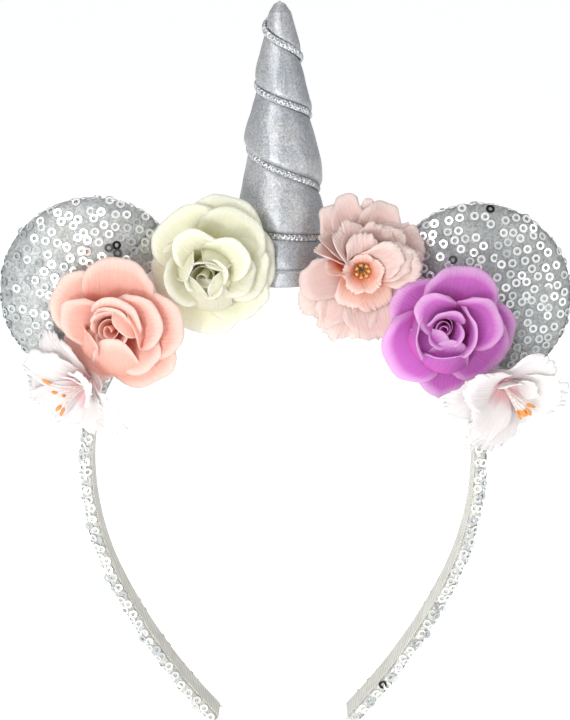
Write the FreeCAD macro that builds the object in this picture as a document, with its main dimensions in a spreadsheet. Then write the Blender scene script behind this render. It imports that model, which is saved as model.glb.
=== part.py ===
import FreeCAD, Part
import math
import os

import Sketcher
from FreeCAD import Placement, Rotation, Vector

# A unicorn-and-flowers alice band: a curved plastic band covered with sequin mesh, two padded
# sequin ears, a stuffed fabric horn with a wound cord, and six fabric flowers.
# Row frame, in millimetres: the origin is the centre of the arc that sits on the head, +X is the
# wearer's left, -Y is the front and +Z is up through the horn.

SIZES = {
    # The band. Its inner line is one arc over the head and two tangent arcs down each leg.
    "head_radius": 66.2,
    "leg_upper_radius": 100.0,
    "leg_lower_radius": 200.0,
    "leg_upper_turn": 25.0,
    "leg_end_turn": 42.5,
    "lining_thickness": 0.55,
    "lining_width": 12.0,
    "core_thickness": 1.8,
    "core_width": 10.0,
    "wrap_thickness": 0.9,
    "wrap_width": 12.0,
    "tip_cover": 0.8,
    # The ears. Each is a round pad whose lower edge is cut to the band.
    "ear_distance": 88.5,
    "ear_radius": 32.0,
    "ear_half_thickness": 6.2,
    "ear_cover_thickness": 0.5,
    "ear_seat_radius": 70.0,
    "stiffener_thickness": 0.8,
    "left_ear_angle": 46.6,
    "right_ear_angle": 48.4,
    # The horn.
    "horn_foot": 70.0,
    "horn_base_thickness": 1.2,
    "horn_base_radius": 13.5,
    "horn_shoulder": 90.0,
    "horn_tip_base": 153.6,
    "horn_tip_radius": 4.6,
    "horn_bulge": 1.3,
    "horn_hem_drop": 3.6,
    "horn_cover_thickness": 0.6,
    "horn_lean": -0.7,
    "cord_diameter": 1.7,
    # The felt patches that carry the flowers.
    "felt_inner_radius": 68.0,
    "felt_outer_radius": 82.0,
    "felt_thickness": 1.2,
    "felt_back": 6.9,
    # The flowers.
    "hub_radius": 4.5,
    "hub_thickness": 0.8,
    "pin_radius": 1.8,
    "pin_length": 3.0,
    "bud_radius": 4.2,
    "bud_half_height": 4.6,
    "petal_thickness": 0.5,
    # Ring sequins.
    "sequin_outer_diameter": 3.0,
    "sequin_hole_diameter": 1.4,
    "sequin_thickness": 0.15,
}

doc = FreeCAD.newDocument("unicorn_headband")
sheet = doc.addObject("Spreadsheet::Sheet", "sizes")
for row, (alias, value) in enumerate(SIZES.items(), start=1):
    sheet.set(f"A{row}", alias)
    sheet.set(f"B{row}", str(value))
    sheet.setAlias(f"B{row}", alias)
doc.recompute()

nodes = []  # every sub-part that becomes a file


def size(alias):
    return float(sheet.get(alias))


def keep(thing, label, placement=None):
    """Names a finished sub-part and puts it in its place."""
    thing.Label = label
    if placement is not None:
        thing.Placement = placement
    nodes.append(thing)
    return thing


def polar(radius, degrees):
    angle = math.radians(degrees)
    return Vector(radius * math.cos(angle), radius * math.sin(angle), 0)


# ---------------------------------------------------------------- sketches and bodies


def new_body(name, role="XZ_Plane"):
    """A body and an empty sketch on one of its own origin planes."""
    body = doc.addObject("PartDesign::Body", name)
    return body, add_sketch(body, f"{name}_sketch", role)


def add_sketch(body, name, role):
    sketch = body.newObject("Sketcher::SketchObject", name)
    plane = next(f for f in body.Origin.OriginFeatures if f.Role == role)
    sketch.AttachmentSupport = [(plane, "")]
    sketch.MapMode = "FlatFace"
    return sketch


def bind(sketch, kind, places, value, formula):
    """Adds a dimension to a sketch and ties it to the sheet."""
    index = sketch.addConstraint(Sketcher.Constraint(kind, *places, value))
    sketch.setExpression(f"Constraints[{index}]", formula)


def pad(body, sketch, length_formula):
    """A pad of equal depth on both sides of its sketch."""
    feature = body.newObject("PartDesign::Pad", f"{body.Name}_pad")
    feature.Profile = sketch
    feature.Midplane = True
    feature.setExpression("Length", length_formula)
    return feature


def pocket(body, sketch, length_formula):
    """A pocket of equal depth on both sides of its sketch, checked to have cut something."""
    before = body.Tip.Shape.Volume
    feature = body.newObject("PartDesign::Pocket", f"{body.Name}_pocket")
    feature.Profile = sketch
    feature.Midplane = True
    feature.setExpression("Length", length_formula)
    doc.recompute()
    assert feature.Shape.Volume < before - 1e-3, f"{body.Name}: the pocket cut nothing"
    return feature


# ---------------------------------------------------------------- the band


def leg_arcs(extra_turn=0.0):
    """Centre, radius and turns of the right leg's arcs, for the inner line of the band."""
    head, upper, lower = size("head_radius"), size("leg_upper_radius"), size("leg_lower_radius")
    turn, end = size("leg_upper_turn"), size("leg_end_turn") + extra_turn
    centre_upper = Vector(head - upper, 0, 0)
    centre_lower = centre_upper - polar(lower - upper, -turn)
    return [(centre_upper, upper, -turn, 0.0), (centre_lower, lower, -end, -turn)]


def mirrored(point):
    return Vector(-point.x, point.y, 0)


def strip_sketch(sketch, inner, outer, formulas, extra_turn=0.0):
    """The band's closed side view between two offsets from its inner line."""
    head = (Vector(0, 0, 0), size("head_radius"), 0.0, 180.0)
    right_leg, left_leg = [], []
    for centre, radius, low, high in leg_arcs(extra_turn):
        right_leg.append((centre, radius, low, high))
        left_leg.append((mirrored(centre), radius, 180 - high, 180 - low))
    chains = []
    for offset, formula in zip((inner, outer), formulas):
        chain = []
        for centre, radius, low, high in right_leg[::-1] + [head] + left_leg:
            circle = Part.Circle(centre, Vector(0, 0, 1), radius + offset)
            chain.append(Part.ArcOfCircle(circle, math.radians(low), math.radians(high)))
        ids = [sketch.addGeometry(arc, False) for arc in chain]
        for here, following in zip(ids, ids[1:]):
            sketch.addConstraint(Sketcher.Constraint("Tangent", here, 2, following, 1))
        names = ("leg_lower_radius", "leg_upper_radius", "head_radius")
        for index, name in zip(ids, names + names[1::-1]):
            value = sketch.Geometry[index].Radius
            bind(sketch, "Radius", (index,), value, f"sizes.{name} + {formula}")
        sketch.addConstraint(Sketcher.Constraint("Coincident", ids[2], 3, -1, 1))
        chains.append(ids)
    for end, point in ((0, 1), (-1, 2)):
        ends = [sketch.getPoint(ids[end], point) for ids in chains]
        closing = sketch.addGeometry(Part.LineSegment(*ends), False)
        sketch.addConstraint(Sketcher.Constraint("Coincident", closing, 1, chains[0][end], point))
        sketch.addConstraint(Sketcher.Constraint("Coincident", closing, 2, chains[1][end], point))
    return chains


def band_strip(name, inner, outer, formulas, width_formula, extra_turn=0.0):
    body, sketch = new_body(name)
    strip_sketch(sketch, inner, outer, formulas, extra_turn)
    pad(body, sketch, width_formula)
    doc.recompute()
    return body


def tip_turn(length):
    """The extra turn of the lower leg's arc that covers a given length."""
    return math.degrees(length / size("leg_lower_radius"))


def make_band():
    lining, core, wrap = size("lining_thickness"), size("core_thickness"), size("wrap_thickness")
    lining_line = "sizes.lining_thickness"
    core_line = f"{lining_line} + sizes.core_thickness"
    wrap_line = f"{core_line} + sizes.wrap_thickness"
    keep(
        band_strip("lining", 0, lining, ("0", lining_line), "sizes.lining_width"),
        "band_lining_ribbon",
    )
    keep(
        band_strip(
            "core", lining, lining + core, (lining_line, core_line), "sizes.core_width"
        ),
        "band_core",
    )
    cover_turn = tip_turn(size("tip_cover"))
    wrapping = band_strip(
        "wrap",
        lining,
        lining + core + wrap,
        (lining_line, wrap_line),
        "sizes.wrap_width",
        cover_turn,
    )
    inside = add_sketch(wrapping, "wrap_inside", "XZ_Plane")
    strip_sketch(inside, lining, lining + core, (lining_line, core_line))
    pocket(wrapping, inside, "sizes.core_width")
    keep(wrapping, "band_sequin_mesh")


# ---------------------------------------------------------------- the ears

EARS = {"left": 1.0, "right": -1.0}  # seen from the front, the sign that turns it outwards


def ear_placement(side):
    """An ear stands on the band with its own +Z pointing away from the head's centre."""
    turn = -EARS[side] * size(f"{side}_ear_angle")
    spin = Rotation(Vector(0, 1, 0), turn)
    return Placement(spin.multVec(Vector(0, 0, size("ear_distance"))), spin)


def half_space(side_of_y, start):
    """A block that keeps what lies beyond a given distance in front or behind."""
    reach = 2 * size("ear_radius")
    block = Part.makeBox(2 * reach, reach, 2 * reach, Vector(-reach, start, -reach))
    if side_of_y < 0:
        block = block.mirror(Vector(0, 0, 0), Vector(0, 1, 0))
    return block


def ear_pad(inset):
    """The pillow shape of an ear, shrunk by an inset, with its seat cut to the band."""
    radius, half = size("ear_radius") - inset, size("ear_half_thickness") - inset
    ball = Part.makeSphere(radius)
    squash = FreeCAD.Matrix()
    squash.scale(1, half / radius, 1)
    pillow = ball.transformGeometry(squash)
    seat = Part.makeCylinder(
        size("ear_seat_radius") + inset,
        4 * size("ear_half_thickness"),
        Vector(0, -2 * size("ear_half_thickness"), -size("ear_distance")),
        Vector(0, 1, 0),
    )
    return pillow.cut(seat)


def make_ear_stiffener(side, place):
    """A flat board, cut round with its foot hollowed to sit on the band."""
    body, sketch = new_body(f"{side}_stiffener")
    radius = size("ear_radius") - 2 * size("ear_cover_thickness")
    circle = Part.Circle(Vector(0, 0, 0), Vector(0, 0, 1), radius)
    index = sketch.addGeometry(circle, False)
    sketch.addConstraint(Sketcher.Constraint("Coincident", index, 3, -1, 1))
    formula = "sizes.ear_radius - 2 * sizes.ear_cover_thickness"
    bind(sketch, "Radius", (index,), radius, formula)
    pad(body, sketch, "sizes.stiffener_thickness")
    doc.recompute()
    seat = add_sketch(body, f"{side}_seat", "XZ_Plane")
    seat_radius = size("ear_seat_radius") + size("ear_cover_thickness")
    seat_circle = Part.Circle(
        Vector(0, -size("ear_distance"), 0), Vector(0, 0, 1), seat_radius
    )
    hollow = seat.addGeometry(seat_circle, False)
    seat.addConstraint(Sketcher.Constraint("PointOnObject", hollow, 3, -2))
    bind(seat, "DistanceY", (hollow, 3, -1, 1), size("ear_distance"), "sizes.ear_distance")
    formula = "sizes.ear_seat_radius + sizes.ear_cover_thickness"
    bind(seat, "Radius", (hollow,), seat_radius, formula)
    pocket(body, seat, "4 * sizes.stiffener_thickness")
    keep(body, f"{side}_ear_stiffener", place)


def make_ear(side):
    place = ear_placement(side)
    make_ear_stiffener(side, place)
    outer = ear_pad(0)
    inner = ear_pad(size("ear_cover_thickness"))
    board = size("stiffener_thickness") / 2
    for name, way in (("front", -1), ("back", 1)):
        cover = doc.addObject("Part::Feature", f"{side}_{name}_cover")
        cover.Shape = outer.cut(inner).common(half_space(way, 0))
        keep(cover, f"{side}_ear_{name}_cover", place)
        padding = doc.addObject("Part::Feature", f"{side}_{name}_padding")
        padding.Shape = inner.common(half_space(way, board))
        keep(padding, f"{side}_ear_{name}_padding", place)
    rings = doc.addObject("Part::Feature", f"{side}_ear_rings")
    rings.Shape = Part.makeCompound(ear_sequins())
    keep(rings, f"{side}_ear_sequins", place)


# ---------------------------------------------------------------- sequins

EAR_SEQUIN_STEP = 5.0
EAR_SEQUIN_MARGIN = 2.2
SEQUIN_LIFT = 0.12


def sequin(place, normal):
    """One flat ring, lying on a surface with a given normal."""
    thickness = size("sequin_thickness")
    ring = Part.makeCylinder(size("sequin_outer_diameter") / 2, thickness)
    hole = Part.makeCylinder(size("sequin_hole_diameter") / 2, thickness)
    ring = ring.cut(hole)
    ring.Placement = Placement(place, Rotation(Vector(0, 0, 1), normal))
    return ring


def ear_sequins():
    """Staggered rows of rings over the front and the back of an ear."""
    radius, half = size("ear_radius"), size("ear_half_thickness")
    step, row_step = EAR_SEQUIN_STEP, EAR_SEQUIN_STEP * math.sqrt(3) / 2
    seat_centre = Vector(0, 0, -size("ear_distance"))
    rows = int(radius / row_step)
    rings = []
    for row_number in range(-rows, rows + 1):
        shift = step / 2 if row_number % 2 else 0
        for column in range(-rows, rows + 1):
            x, z = column * step + shift, row_number * row_step
            from_middle = math.hypot(x, z)
            from_seat = (Vector(x, 0, z) - seat_centre).Length - size("ear_seat_radius")
            if from_middle > radius - EAR_SEQUIN_MARGIN or from_seat < EAR_SEQUIN_MARGIN:
                continue
            depth = half * math.sqrt(1 - (from_middle / radius) ** 2)
            for way in (-1, 1):
                normal = Vector(
                    x / radius**2, way * depth / half**2, z / radius**2
                ).normalize()
                on_surface = Vector(x, way * depth, z)
                rings.append(sequin(on_surface + normal * SEQUIN_LIFT, normal))
    return rings


BAND_SEQUIN_STEP = 4.6
BAND_SEQUIN_ROW = 2.8
CLEAR_TURN = 3.0  # degrees of band left bare beside an ear or the horn


def band_stations():
    """Points along the band's inner line from tip to tip, with the outward direction at each."""
    stations = []
    for centre, radius, low, high in reversed(leg_arcs()):
        count = int(math.radians(high - low) * radius / BAND_SEQUIN_STEP)
        for number in range(count):
            outward = polar(1, low + (high - low) * (number + 0.5) / count)
            stations.append((centre + outward * radius, outward))
    legs = [(mirrored(point), mirrored(outward)) for point, outward in stations]
    count = int(math.pi * size("head_radius") / BAND_SEQUIN_STEP)
    arc = [polar(1, 180 * (number + 0.5) / count) for number in range(count)]
    return stations + [(outward * size("head_radius"), outward) for outward in arc] + legs


def upright(flat):
    """Turns a point of the band's side view into the row frame."""
    return Vector(flat.x, 0, flat.y)


def under_something(point):
    """True where an ear or the horn stands on the band."""
    if point.y <= 0:
        return False
    from_top = math.degrees(math.atan2(abs(point.x), point.y))
    half_horn = math.degrees(math.asin(size("horn_base_radius") / size("head_radius"))) + CLEAR_TURN
    ear = size("left_ear_angle") if point.x < 0 else size("right_ear_angle")
    half_ear = math.degrees(math.asin(size("ear_radius") / size("ear_distance"))) + CLEAR_TURN
    return from_top < half_horn or abs(from_top - ear) < half_ear


def make_band_sequins():
    """Two rows of rings round the outside of the band and one row on each edge."""
    stack = size("lining_thickness") + size("core_thickness") + size("wrap_thickness")
    rings = []
    for point, outward in band_stations():
        normal = upright(outward)
        if not under_something(point):
            for way in (-1, 1):
                across = Vector(0, way * BAND_SEQUIN_ROW, 0)
                place = upright(point + outward * (stack + SEQUIN_LIFT)) + across
                rings.append(sequin(place, normal))
        edge = size("wrap_width") / 2 + SEQUIN_LIFT / 2
        middle = upright(point + outward * (stack / 2 + size("lining_thickness") / 2))
        for way in (-1, 1):
            rings.append(sequin(middle + Vector(0, way * edge, 0), Vector(0, way, 0)))
    group = doc.addObject("Part::Feature", "band_rings")
    group.Shape = Part.makeCompound(rings)
    keep(group, "band_sequins")


# ---------------------------------------------------------------- the horn


def horn_placement():
    foot = Vector(0, 0, size("horn_foot"))
    return Placement(foot, Rotation(Vector(0, 1, 0), size("horn_lean")))


def horn_profile(sketch, inset, start, inset_formula, start_formula):
    """Half of the horn's outline: foot, straight lower side, bulging flank and round tip.

    The sketch's x is the distance from the horn's axis and its y is the height over the foot.
    """
    shoulder = size("horn_shoulder") - size("horn_foot")
    tip_height = size("horn_tip_base") - size("horn_foot")
    radius, tip = size("horn_base_radius") - inset, size("horn_tip_radius") - inset
    foot = Vector(0, start, 0)
    corner = Vector(radius, start, 0)
    side = Vector(radius, shoulder, 0)
    neck = Vector(tip, tip_height, 0)
    top = Vector(0, tip_height + tip, 0)
    flank = Part.Arc(side, (side + neck) / 2 + Vector(size("horn_bulge"), 0, 0), neck)
    round_tip = Part.Arc(neck, Vector(0, tip_height, 0) + polar(tip, 45), top)
    edges = [
        Part.LineSegment(foot, corner),
        Part.LineSegment(corner, side),
        flank,
        round_tip,
        Part.LineSegment(top, foot),
    ]
    ids = [sketch.addGeometry(edge, False) for edge in edges]
    for here, following in zip(ids, ids[1:] + ids[:1]):
        sketch.addConstraint(Sketcher.Constraint("Coincident", here, 2, following, 1))
    sketch.addConstraint(Sketcher.Constraint("Horizontal", ids[0]))
    sketch.addConstraint(Sketcher.Constraint("Vertical", ids[1]))
    sketch.addConstraint(Sketcher.Constraint("PointOnObject", ids[0], 1, -2))
    sketch.addConstraint(Sketcher.Constraint("PointOnObject", ids[3], 2, -2))
    sketch.addConstraint(Sketcher.Constraint("PointOnObject", ids[3], 3, -2))
    across, up = "DistanceX", "DistanceY"
    shoulder_formula = "sizes.horn_shoulder - sizes.horn_foot"
    tip_formula = "sizes.horn_tip_base - sizes.horn_foot"
    bind(sketch, across, (-1, 1, ids[1], 2), radius, f"sizes.horn_base_radius - {inset_formula}")
    bind(sketch, up, (-1, 1, ids[0], 1), start, start_formula)
    bind(sketch, up, (-1, 1, ids[1], 2), shoulder, shoulder_formula)
    bind(sketch, up, (-1, 1, ids[2], 2), tip_height, tip_formula)
    bind(sketch, "Radius", (ids[3],), tip, f"sizes.horn_tip_radius - {inset_formula}")


def turned(body, sketch, kind="Revolution"):
    """Turns a profile about its own vertical axis, as a solid or as a groove."""
    feature = body.newObject(f"PartDesign::{kind}", f"{body.Name}_{kind.lower()}")
    feature.Profile = sketch
    feature.ReferenceAxis = (sketch, ["V_Axis"])
    feature.Angle = 360
    doc.recompute()
    return feature


SEAT_GAP = 0.2  # between the cover and the band that it sits on
CUT_THROUGH = 1.0  # how far a cut runs past what it cuts


def make_horn_cover(place):
    """A thin fabric cone with a hem that reaches down over the band's front and back."""
    body, sketch = new_body("cover")
    hem = size("horn_hem_drop")
    horn_profile(sketch, 0, -hem, "0", "-sizes.horn_hem_drop")
    turned(body, sketch)
    inner = add_sketch(body, "cover_inside", "XZ_Plane")
    skin = "sizes.horn_cover_thickness"
    inner_foot = f"-sizes.horn_hem_drop - {CUT_THROUGH}"
    horn_profile(inner, size("horn_cover_thickness"), -hem - CUT_THROUGH, skin, inner_foot)
    turned(body, inner, "Groove")
    notch = add_sketch(body, "cover_notch", "XZ_Plane")
    clear = size("ear_seat_radius") + SEAT_GAP
    circle = Part.Circle(Vector(0, -size("horn_foot"), 0), Vector(0, 0, 1), clear)
    index = notch.addGeometry(circle, False)
    notch.addConstraint(Sketcher.Constraint("PointOnObject", index, 3, -2))
    bind(notch, "DistanceY", (index, 3, -1, 1), size("horn_foot"), "sizes.horn_foot")
    bind(notch, "Radius", (index,), clear, f"sizes.ear_seat_radius + {SEAT_GAP}")
    pocket(body, notch, f"sizes.wrap_width + {CUT_THROUGH}")
    keep(body, "horn_cover", place)


def make_horn_stuffing(place):
    body, sketch = new_body("stuffing")
    skin, base = "sizes.horn_cover_thickness", "sizes.horn_base_thickness"
    horn_profile(
        sketch, size("horn_cover_thickness"), size("horn_base_thickness"), skin, base
    )
    turned(body, sketch)
    keep(body, "horn_stuffing", place)


def horn_radius(height):
    """The horn's radius at a height in the row frame."""
    if height <= size("horn_shoulder"):
        return size("horn_base_radius")
    span = size("horn_tip_base") - size("horn_shoulder")
    share = min((height - size("horn_shoulder")) / span, 1.0)
    straight = size("horn_base_radius") + share * (
        size("horn_tip_radius") - size("horn_base_radius")
    )
    return straight + size("horn_bulge") * 4 * share * (1 - share)


# The cord winds down the horn, left, front, right and back. These are its heights at each half
# turn, from the back of the tip to the back of the foot; the ends are quarter turns.
CORD_HALF_TURNS = [150.0, 139.8, 131.0, 120.8, 110.2, 95.8, 83.6, 79.6]
CORD_TOP_END = 154.3
CORD_BOTTOM_END = 78.0
CORD_STEPS = 6
CORD_CLEARANCE = 0.45
ARC_SHARE = 0.45  # of the shorter run beside a corner, taken up by the corner's arc


def cord_route():
    heights = [(90.0, CORD_TOP_END)]
    for number, height in enumerate(CORD_HALF_TURNS):
        heights.append((180.0 * (number + 1), height))
    heights.append((180.0 * len(CORD_HALF_TURNS) + 90.0, CORD_BOTTOM_END))
    points = []
    for (turn, height), (next_turn, next_height) in zip(heights, heights[1:]):
        steps = round(CORD_STEPS * (next_turn - turn) / 180)
        for step in range(steps):
            share = step / steps
            points.append((turn + share * (next_turn - turn),
                           height + share * (next_height - height)))
    points.append(heights[-1])
    route = []
    for turn, height in points:
        radius = horn_radius(height) + size("cord_diameter") / 2 + CORD_CLEARANCE
        route.append(polar(radius, turn) + Vector(0, 0, height - size("horn_foot")))
    return route


def rounded_path(points):
    """Straight runs joined by tangent arcs, as large as the two runs beside each allow."""
    edges = []
    start = points[0]
    for before, corner, after in zip(points, points[1:], points[2:]):
        back, onward = (before - corner), (after - corner)
        turn = math.pi - back.getAngle(onward)
        trim = ARC_SHARE * min(back.Length, onward.Length)
        radius = trim / math.tan(turn / 2)
        arc_start = corner + back.normalize() * trim
        arc_end = corner + onward.normalize() * trim
        to_middle = (arc_start + arc_end) / 2 - corner
        reach = radius / math.cos(turn / 2) - radius
        arc_middle = corner + to_middle.normalize() * reach
        edges.append(Part.LineSegment(start, arc_start).toShape())
        edges.append(Part.Arc(arc_start, arc_middle, arc_end).toShape())
        start = arc_end
    edges.append(Part.LineSegment(start, points[-1]).toShape())
    return Part.Wire(edges)


def make_horn_cord(place):
    route = cord_route()
    path = doc.addObject("Part::Feature", "cord_path")
    path.Shape = rounded_path(route)
    section = doc.addObject("Part::Circle", "cord_section")
    section.setExpression("Radius", "sizes.cord_diameter / 2")
    section.Placement = Placement(route[0], Rotation(Vector(0, 0, 1), route[1] - route[0]))
    tube = doc.addObject("Part::Sweep", "cord_tube")
    tube.Sections = [section]
    tube.Spine = (path, [f"Edge{n + 1}" for n in range(len(path.Shape.Edges))])
    tube.Solid = True
    doc.recompute()
    expected = math.pi * (size("cord_diameter") / 2) ** 2 * path.Shape.Length
    print(f"cord: {path.Shape.Length:.1f} mm long, volume over section times length "
          f"{tube.Shape.Volume / expected:.3f}")
    keep(tube, "horn_cord", place)


def make_horn():
    place = horn_placement()
    make_horn_cover(place)
    make_horn_stuffing(place)
    disc = doc.addObject("Part::Cylinder", "base_disc")
    disc.setExpression("Radius", "sizes.horn_base_radius - sizes.horn_cover_thickness")
    disc.setExpression("Height", "sizes.horn_base_thickness")
    keep(disc, "horn_base_disc", place)
    make_horn_cord(place)


# ---------------------------------------------------------------- the felt patches

FELT_ARCS = {"left": (102.5, 160.0), "right": (16.0, 77.5)}


def make_felt(side):
    """A flat curved patch in front of the band and of the ear's foot."""
    body, sketch = new_body(f"{side}_felt")
    start, end = FELT_ARCS[side]
    inner, outer = size("felt_inner_radius"), size("felt_outer_radius")
    arcs = []
    for radius, alias in ((inner, "felt_inner_radius"), (outer, "felt_outer_radius")):
        circle = Part.Circle(Vector(0, 0, 0), Vector(0, 0, 1), radius)
        arc = Part.ArcOfCircle(circle, math.radians(start), math.radians(end))
        arcs.append(sketch.addGeometry(arc, False))
        sketch.addConstraint(Sketcher.Constraint("Coincident", arcs[-1], 3, -1, 1))
        bind(sketch, "Radius", (arcs[-1],), radius, f"sizes.{alias}")
    for point, angle in ((1, start), (2, end)):
        ends = Part.LineSegment(polar(inner, angle), polar(outer, angle))
        line = sketch.addGeometry(ends, False)
        sketch.addConstraint(Sketcher.Constraint("Coincident", line, 1, arcs[0], point))
        sketch.addConstraint(Sketcher.Constraint("Coincident", line, 2, arcs[1], point))
    pad(body, sketch, "sizes.felt_thickness")
    doc.recompute()
    middle = -(size("felt_back") + size("felt_thickness") / 2)
    keep(body, f"{side}_felt_patch", Placement(Vector(0, middle, 0), Rotation()))


# ---------------------------------------------------------------- the flowers

# Each flower: its centre's x and z, the way it faces, its radius and the depth of its outer cup
# (the cup's radius over the flower's), and the flower in front that it tucks under.
FLOWERS = {
    "coral_rose": (-54.5, 52.3, (-0.22, -1.0, -0.08), 23.5, 1.25, None),
    "ivory_rose": (-23.2, 73.3, (-0.05, -1.0, -0.12), 22.5, 1.35, "coral_rose"),
    "violet_rose": (56.5, 52.3, (0.20, -1.0, -0.08), 23.0, 1.25, None),
    "peach_blossom": (26.3, 71.0, (0.05, -1.0, -0.10), 23.0, 1.35, "violet_rose"),
    "left_white_blossom": (-69.5, 30.0, (-0.60, -0.78, -0.20), 17.5, 1.05, "coral_rose"),
    "right_white_blossom": (76.0, 29.0, (0.30, -0.88, -0.38), 17.5, 1.05, "violet_rose"),
}
# A rose's rings of petals: reach and cup radius over the flower's, count and turn in degrees.
ROSE_RINGS = {
    "outer_petals": (1.0, None, 5, 0.0),
    "middle_petals": (0.74, 0.85, 5, 36.0),
    "inner_petals": (0.48, 0.55, 4, 10.0),
}
BLOSSOM_RINGS = {"petals": (1.0, None, 5, 20.0)}
RING_STEP = 1.0
STACK_GAP = 0.1  # between pieces that are glued on top of each other
FELT_GAP = 0.15  # between the felt and the flowers' feet
FLOWER_GAP = 0.4  # between a flower's outer cup and what tucks under it
PETAL_GAP = 0.2  # half of the space between two petals of a ring
PETAL_FULLNESS = 1.15
PETAL_ROUNDNESS = 0.98  # a petal's largest width over its length
SMALLEST_PIECE = 1.0  # a trimmed petal's offcuts below this volume are left out
VIEW_DEPTH = 8.0  # how far in front of its foot a flower's widest part is


def felt_front():
    """The depth in front of which everything on the felt stands."""
    return size("felt_back") + size("felt_thickness") + FELT_GAP


def flower_axis(name):
    return Vector(*FLOWERS[name][2]).normalize()


def flower_placement(name):
    """A flower's foot stands on the felt, and its own +Z is the way that it faces."""
    x, z = FLOWERS[name][:2]
    axis = flower_axis(name)
    lean = math.sqrt(1 - axis.y**2)
    depth = felt_front() + size("hub_radius") * lean
    foot = Vector(x - axis.x * VIEW_DEPTH, -depth, z - axis.z * VIEW_DEPTH)
    return Placement(foot, Rotation(Vector(0, 0, 1), axis))


def cup_radius(name):
    return FLOWERS[name][3] * FLOWERS[name][4]


def cup_ball(name, extra):
    """The ball whose lower cap is a flower's outer cup, in the row frame."""
    radius = cup_radius(name)
    place = flower_placement(name)
    centre = place.multVec(Vector(0, 0, size("hub_thickness") + STACK_GAP + radius))
    return Part.makeSphere(radius + extra, centre)


def petal_outline(inner, reach, count):
    """A petal seen from the front: an oval kept to its own share of the circle."""
    half_angle = math.pi / count
    half_length = (reach - inner) / 2
    middle = inner + half_length
    half_width = min(middle * math.sin(half_angle) * PETAL_FULLNESS, PETAL_ROUNDNESS * half_length)
    ellipse = Part.Ellipse(Vector(middle, 0, 0), half_length, half_width)
    oval = Part.Face(Part.Wire(ellipse.toShape()))
    apex = Vector(PETAL_GAP / math.sin(half_angle), 0, 0)
    side = 2 * reach * math.tan(half_angle)
    corners = [apex, apex + Vector(2 * reach, -side, 0), apex + Vector(2 * reach, side, 0), apex]
    return oval.common(Part.Face(Part.makePolygon(corners)))


def petals(reach, cup, count, turn, level):
    """A ring of separate dished petals, each cut out of one thin bowl."""
    start = size("hub_thickness") + STACK_GAP + level * RING_STEP
    centre = Vector(0, 0, start + cup)
    hollow = Part.makeSphere(cup - size("petal_thickness"), centre)
    bowl = Part.makeSphere(cup, centre).cut(hollow)
    outline = petal_outline(size("pin_radius") + PETAL_GAP, reach, count)
    petal = bowl.common(outline.extrude(Vector(0, 0, start + cup)))
    result = []
    for number in range(count):
        copy = petal.copy()
        copy.rotate(Vector(0, 0, 0), Vector(0, 0, 1), turn + 360 * number / count)
        result.append(copy)
    return result


def solids_of(shape):
    return [solid for solid in shape.Solids if solid.Volume > SMALLEST_PIECE]


def make_petal_ring(name, ring, settings, level):
    """One ring of petals, less what would reach into the felt or the flower in front."""
    share, cup_share, count, turn = settings
    radius, in_front = FLOWERS[name][3], FLOWERS[name][5]
    cup = cup_radius(name) if cup_share is None else radius * cup_share
    place = flower_placement(name)
    loose = petals(radius * share, cup, count, turn, level)
    room = 8 * radius
    behind = Part.makeBox(2 * room, room, 2 * room, Vector(-room, -felt_front(), -room))
    limits = [behind] + ([cup_ball(in_front, FLOWER_GAP)] if in_front else [])
    for limit in limits:
        limit.Placement = place.inverse().multiply(limit.Placement)
        loose = [solid for petal in loose for solid in solids_of(petal.cut(limit))]
    group = doc.addObject("Part::Feature", f"{name}_{ring}")
    group.Shape = Part.makeCompound(loose)
    keep(group, f"{name}_{ring}", place)


def make_hub(name):
    """The moulded foot of a flower: a round flange with a pin that its petals sit on."""
    flange = doc.addObject("Part::Cylinder", f"{name}_flange")
    flange.setExpression("Radius", "sizes.hub_radius")
    flange.setExpression("Height", "sizes.hub_thickness")
    pin = doc.addObject("Part::Cylinder", f"{name}_pin")
    pin.setExpression("Radius", "sizes.pin_radius")
    pin.setExpression("Height", "sizes.hub_thickness + sizes.pin_length")
    hub = doc.addObject("Part::Fuse", f"{name}_foot")
    hub.Base = flange
    hub.Tool = pin
    keep(hub, f"{name}_hub", flower_placement(name))


def make_bud(name):
    """The rolled heart of a rose, an egg that stands on the hub's pin."""
    bud = doc.addObject("Part::Ellipsoid", f"{name}_heart")
    bud.setExpression("Radius1", "sizes.bud_half_height")
    bud.setExpression("Radius2", "sizes.bud_radius")
    bud.setExpression("Radius3", "sizes.bud_radius")
    foot = size("hub_thickness") + size("pin_length") + STACK_GAP
    lift = Placement(Vector(0, 0, foot + size("bud_half_height")), Rotation())
    keep(bud, f"{name}_bud", flower_placement(name).multiply(lift))


FILAMENT_RADIUS = 0.35
ANTHER_RADIUS = 0.8
STEM_LEANS = (0.55, 1.0, 0.775)  # how far stems in turn lean, as shares of the widest lean
# How many stamens a flower has, how long they are and how widely they lean, in degrees.
PEACH_STAMENS = (7, 6.0, 40.0)
WHITE_STAMENS = (6, 15.0, 32.0)


def make_stamens(name, count, length, spread):
    """A group of thin filaments that fan out from the pin, each with its anther."""
    foot = size("hub_thickness") + size("pin_length") + STACK_GAP
    ring = size("pin_radius") - FILAMENT_RADIUS
    stems = []
    for number in range(count):
        around = 360 * number / count
        lean = spread * STEM_LEANS[number % len(STEM_LEANS)]
        direction = Rotation(Vector(0, 0, 1), around).multVec(
            Vector(math.sin(math.radians(lean)), 0, math.cos(math.radians(lean)))
        )
        start = polar(ring, around) + Vector(0, 0, foot + ANTHER_RADIUS)
        stem = Part.makeCylinder(FILAMENT_RADIUS, length, start, direction)
        anther = Part.makeSphere(ANTHER_RADIUS, start + direction * length)
        stems.append(stem.fuse(anther))
    group = doc.addObject("Part::Feature", f"{name}_stamen_group")
    group.Shape = Part.makeCompound(stems)
    keep(group, f"{name}_stamens", flower_placement(name))


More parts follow.
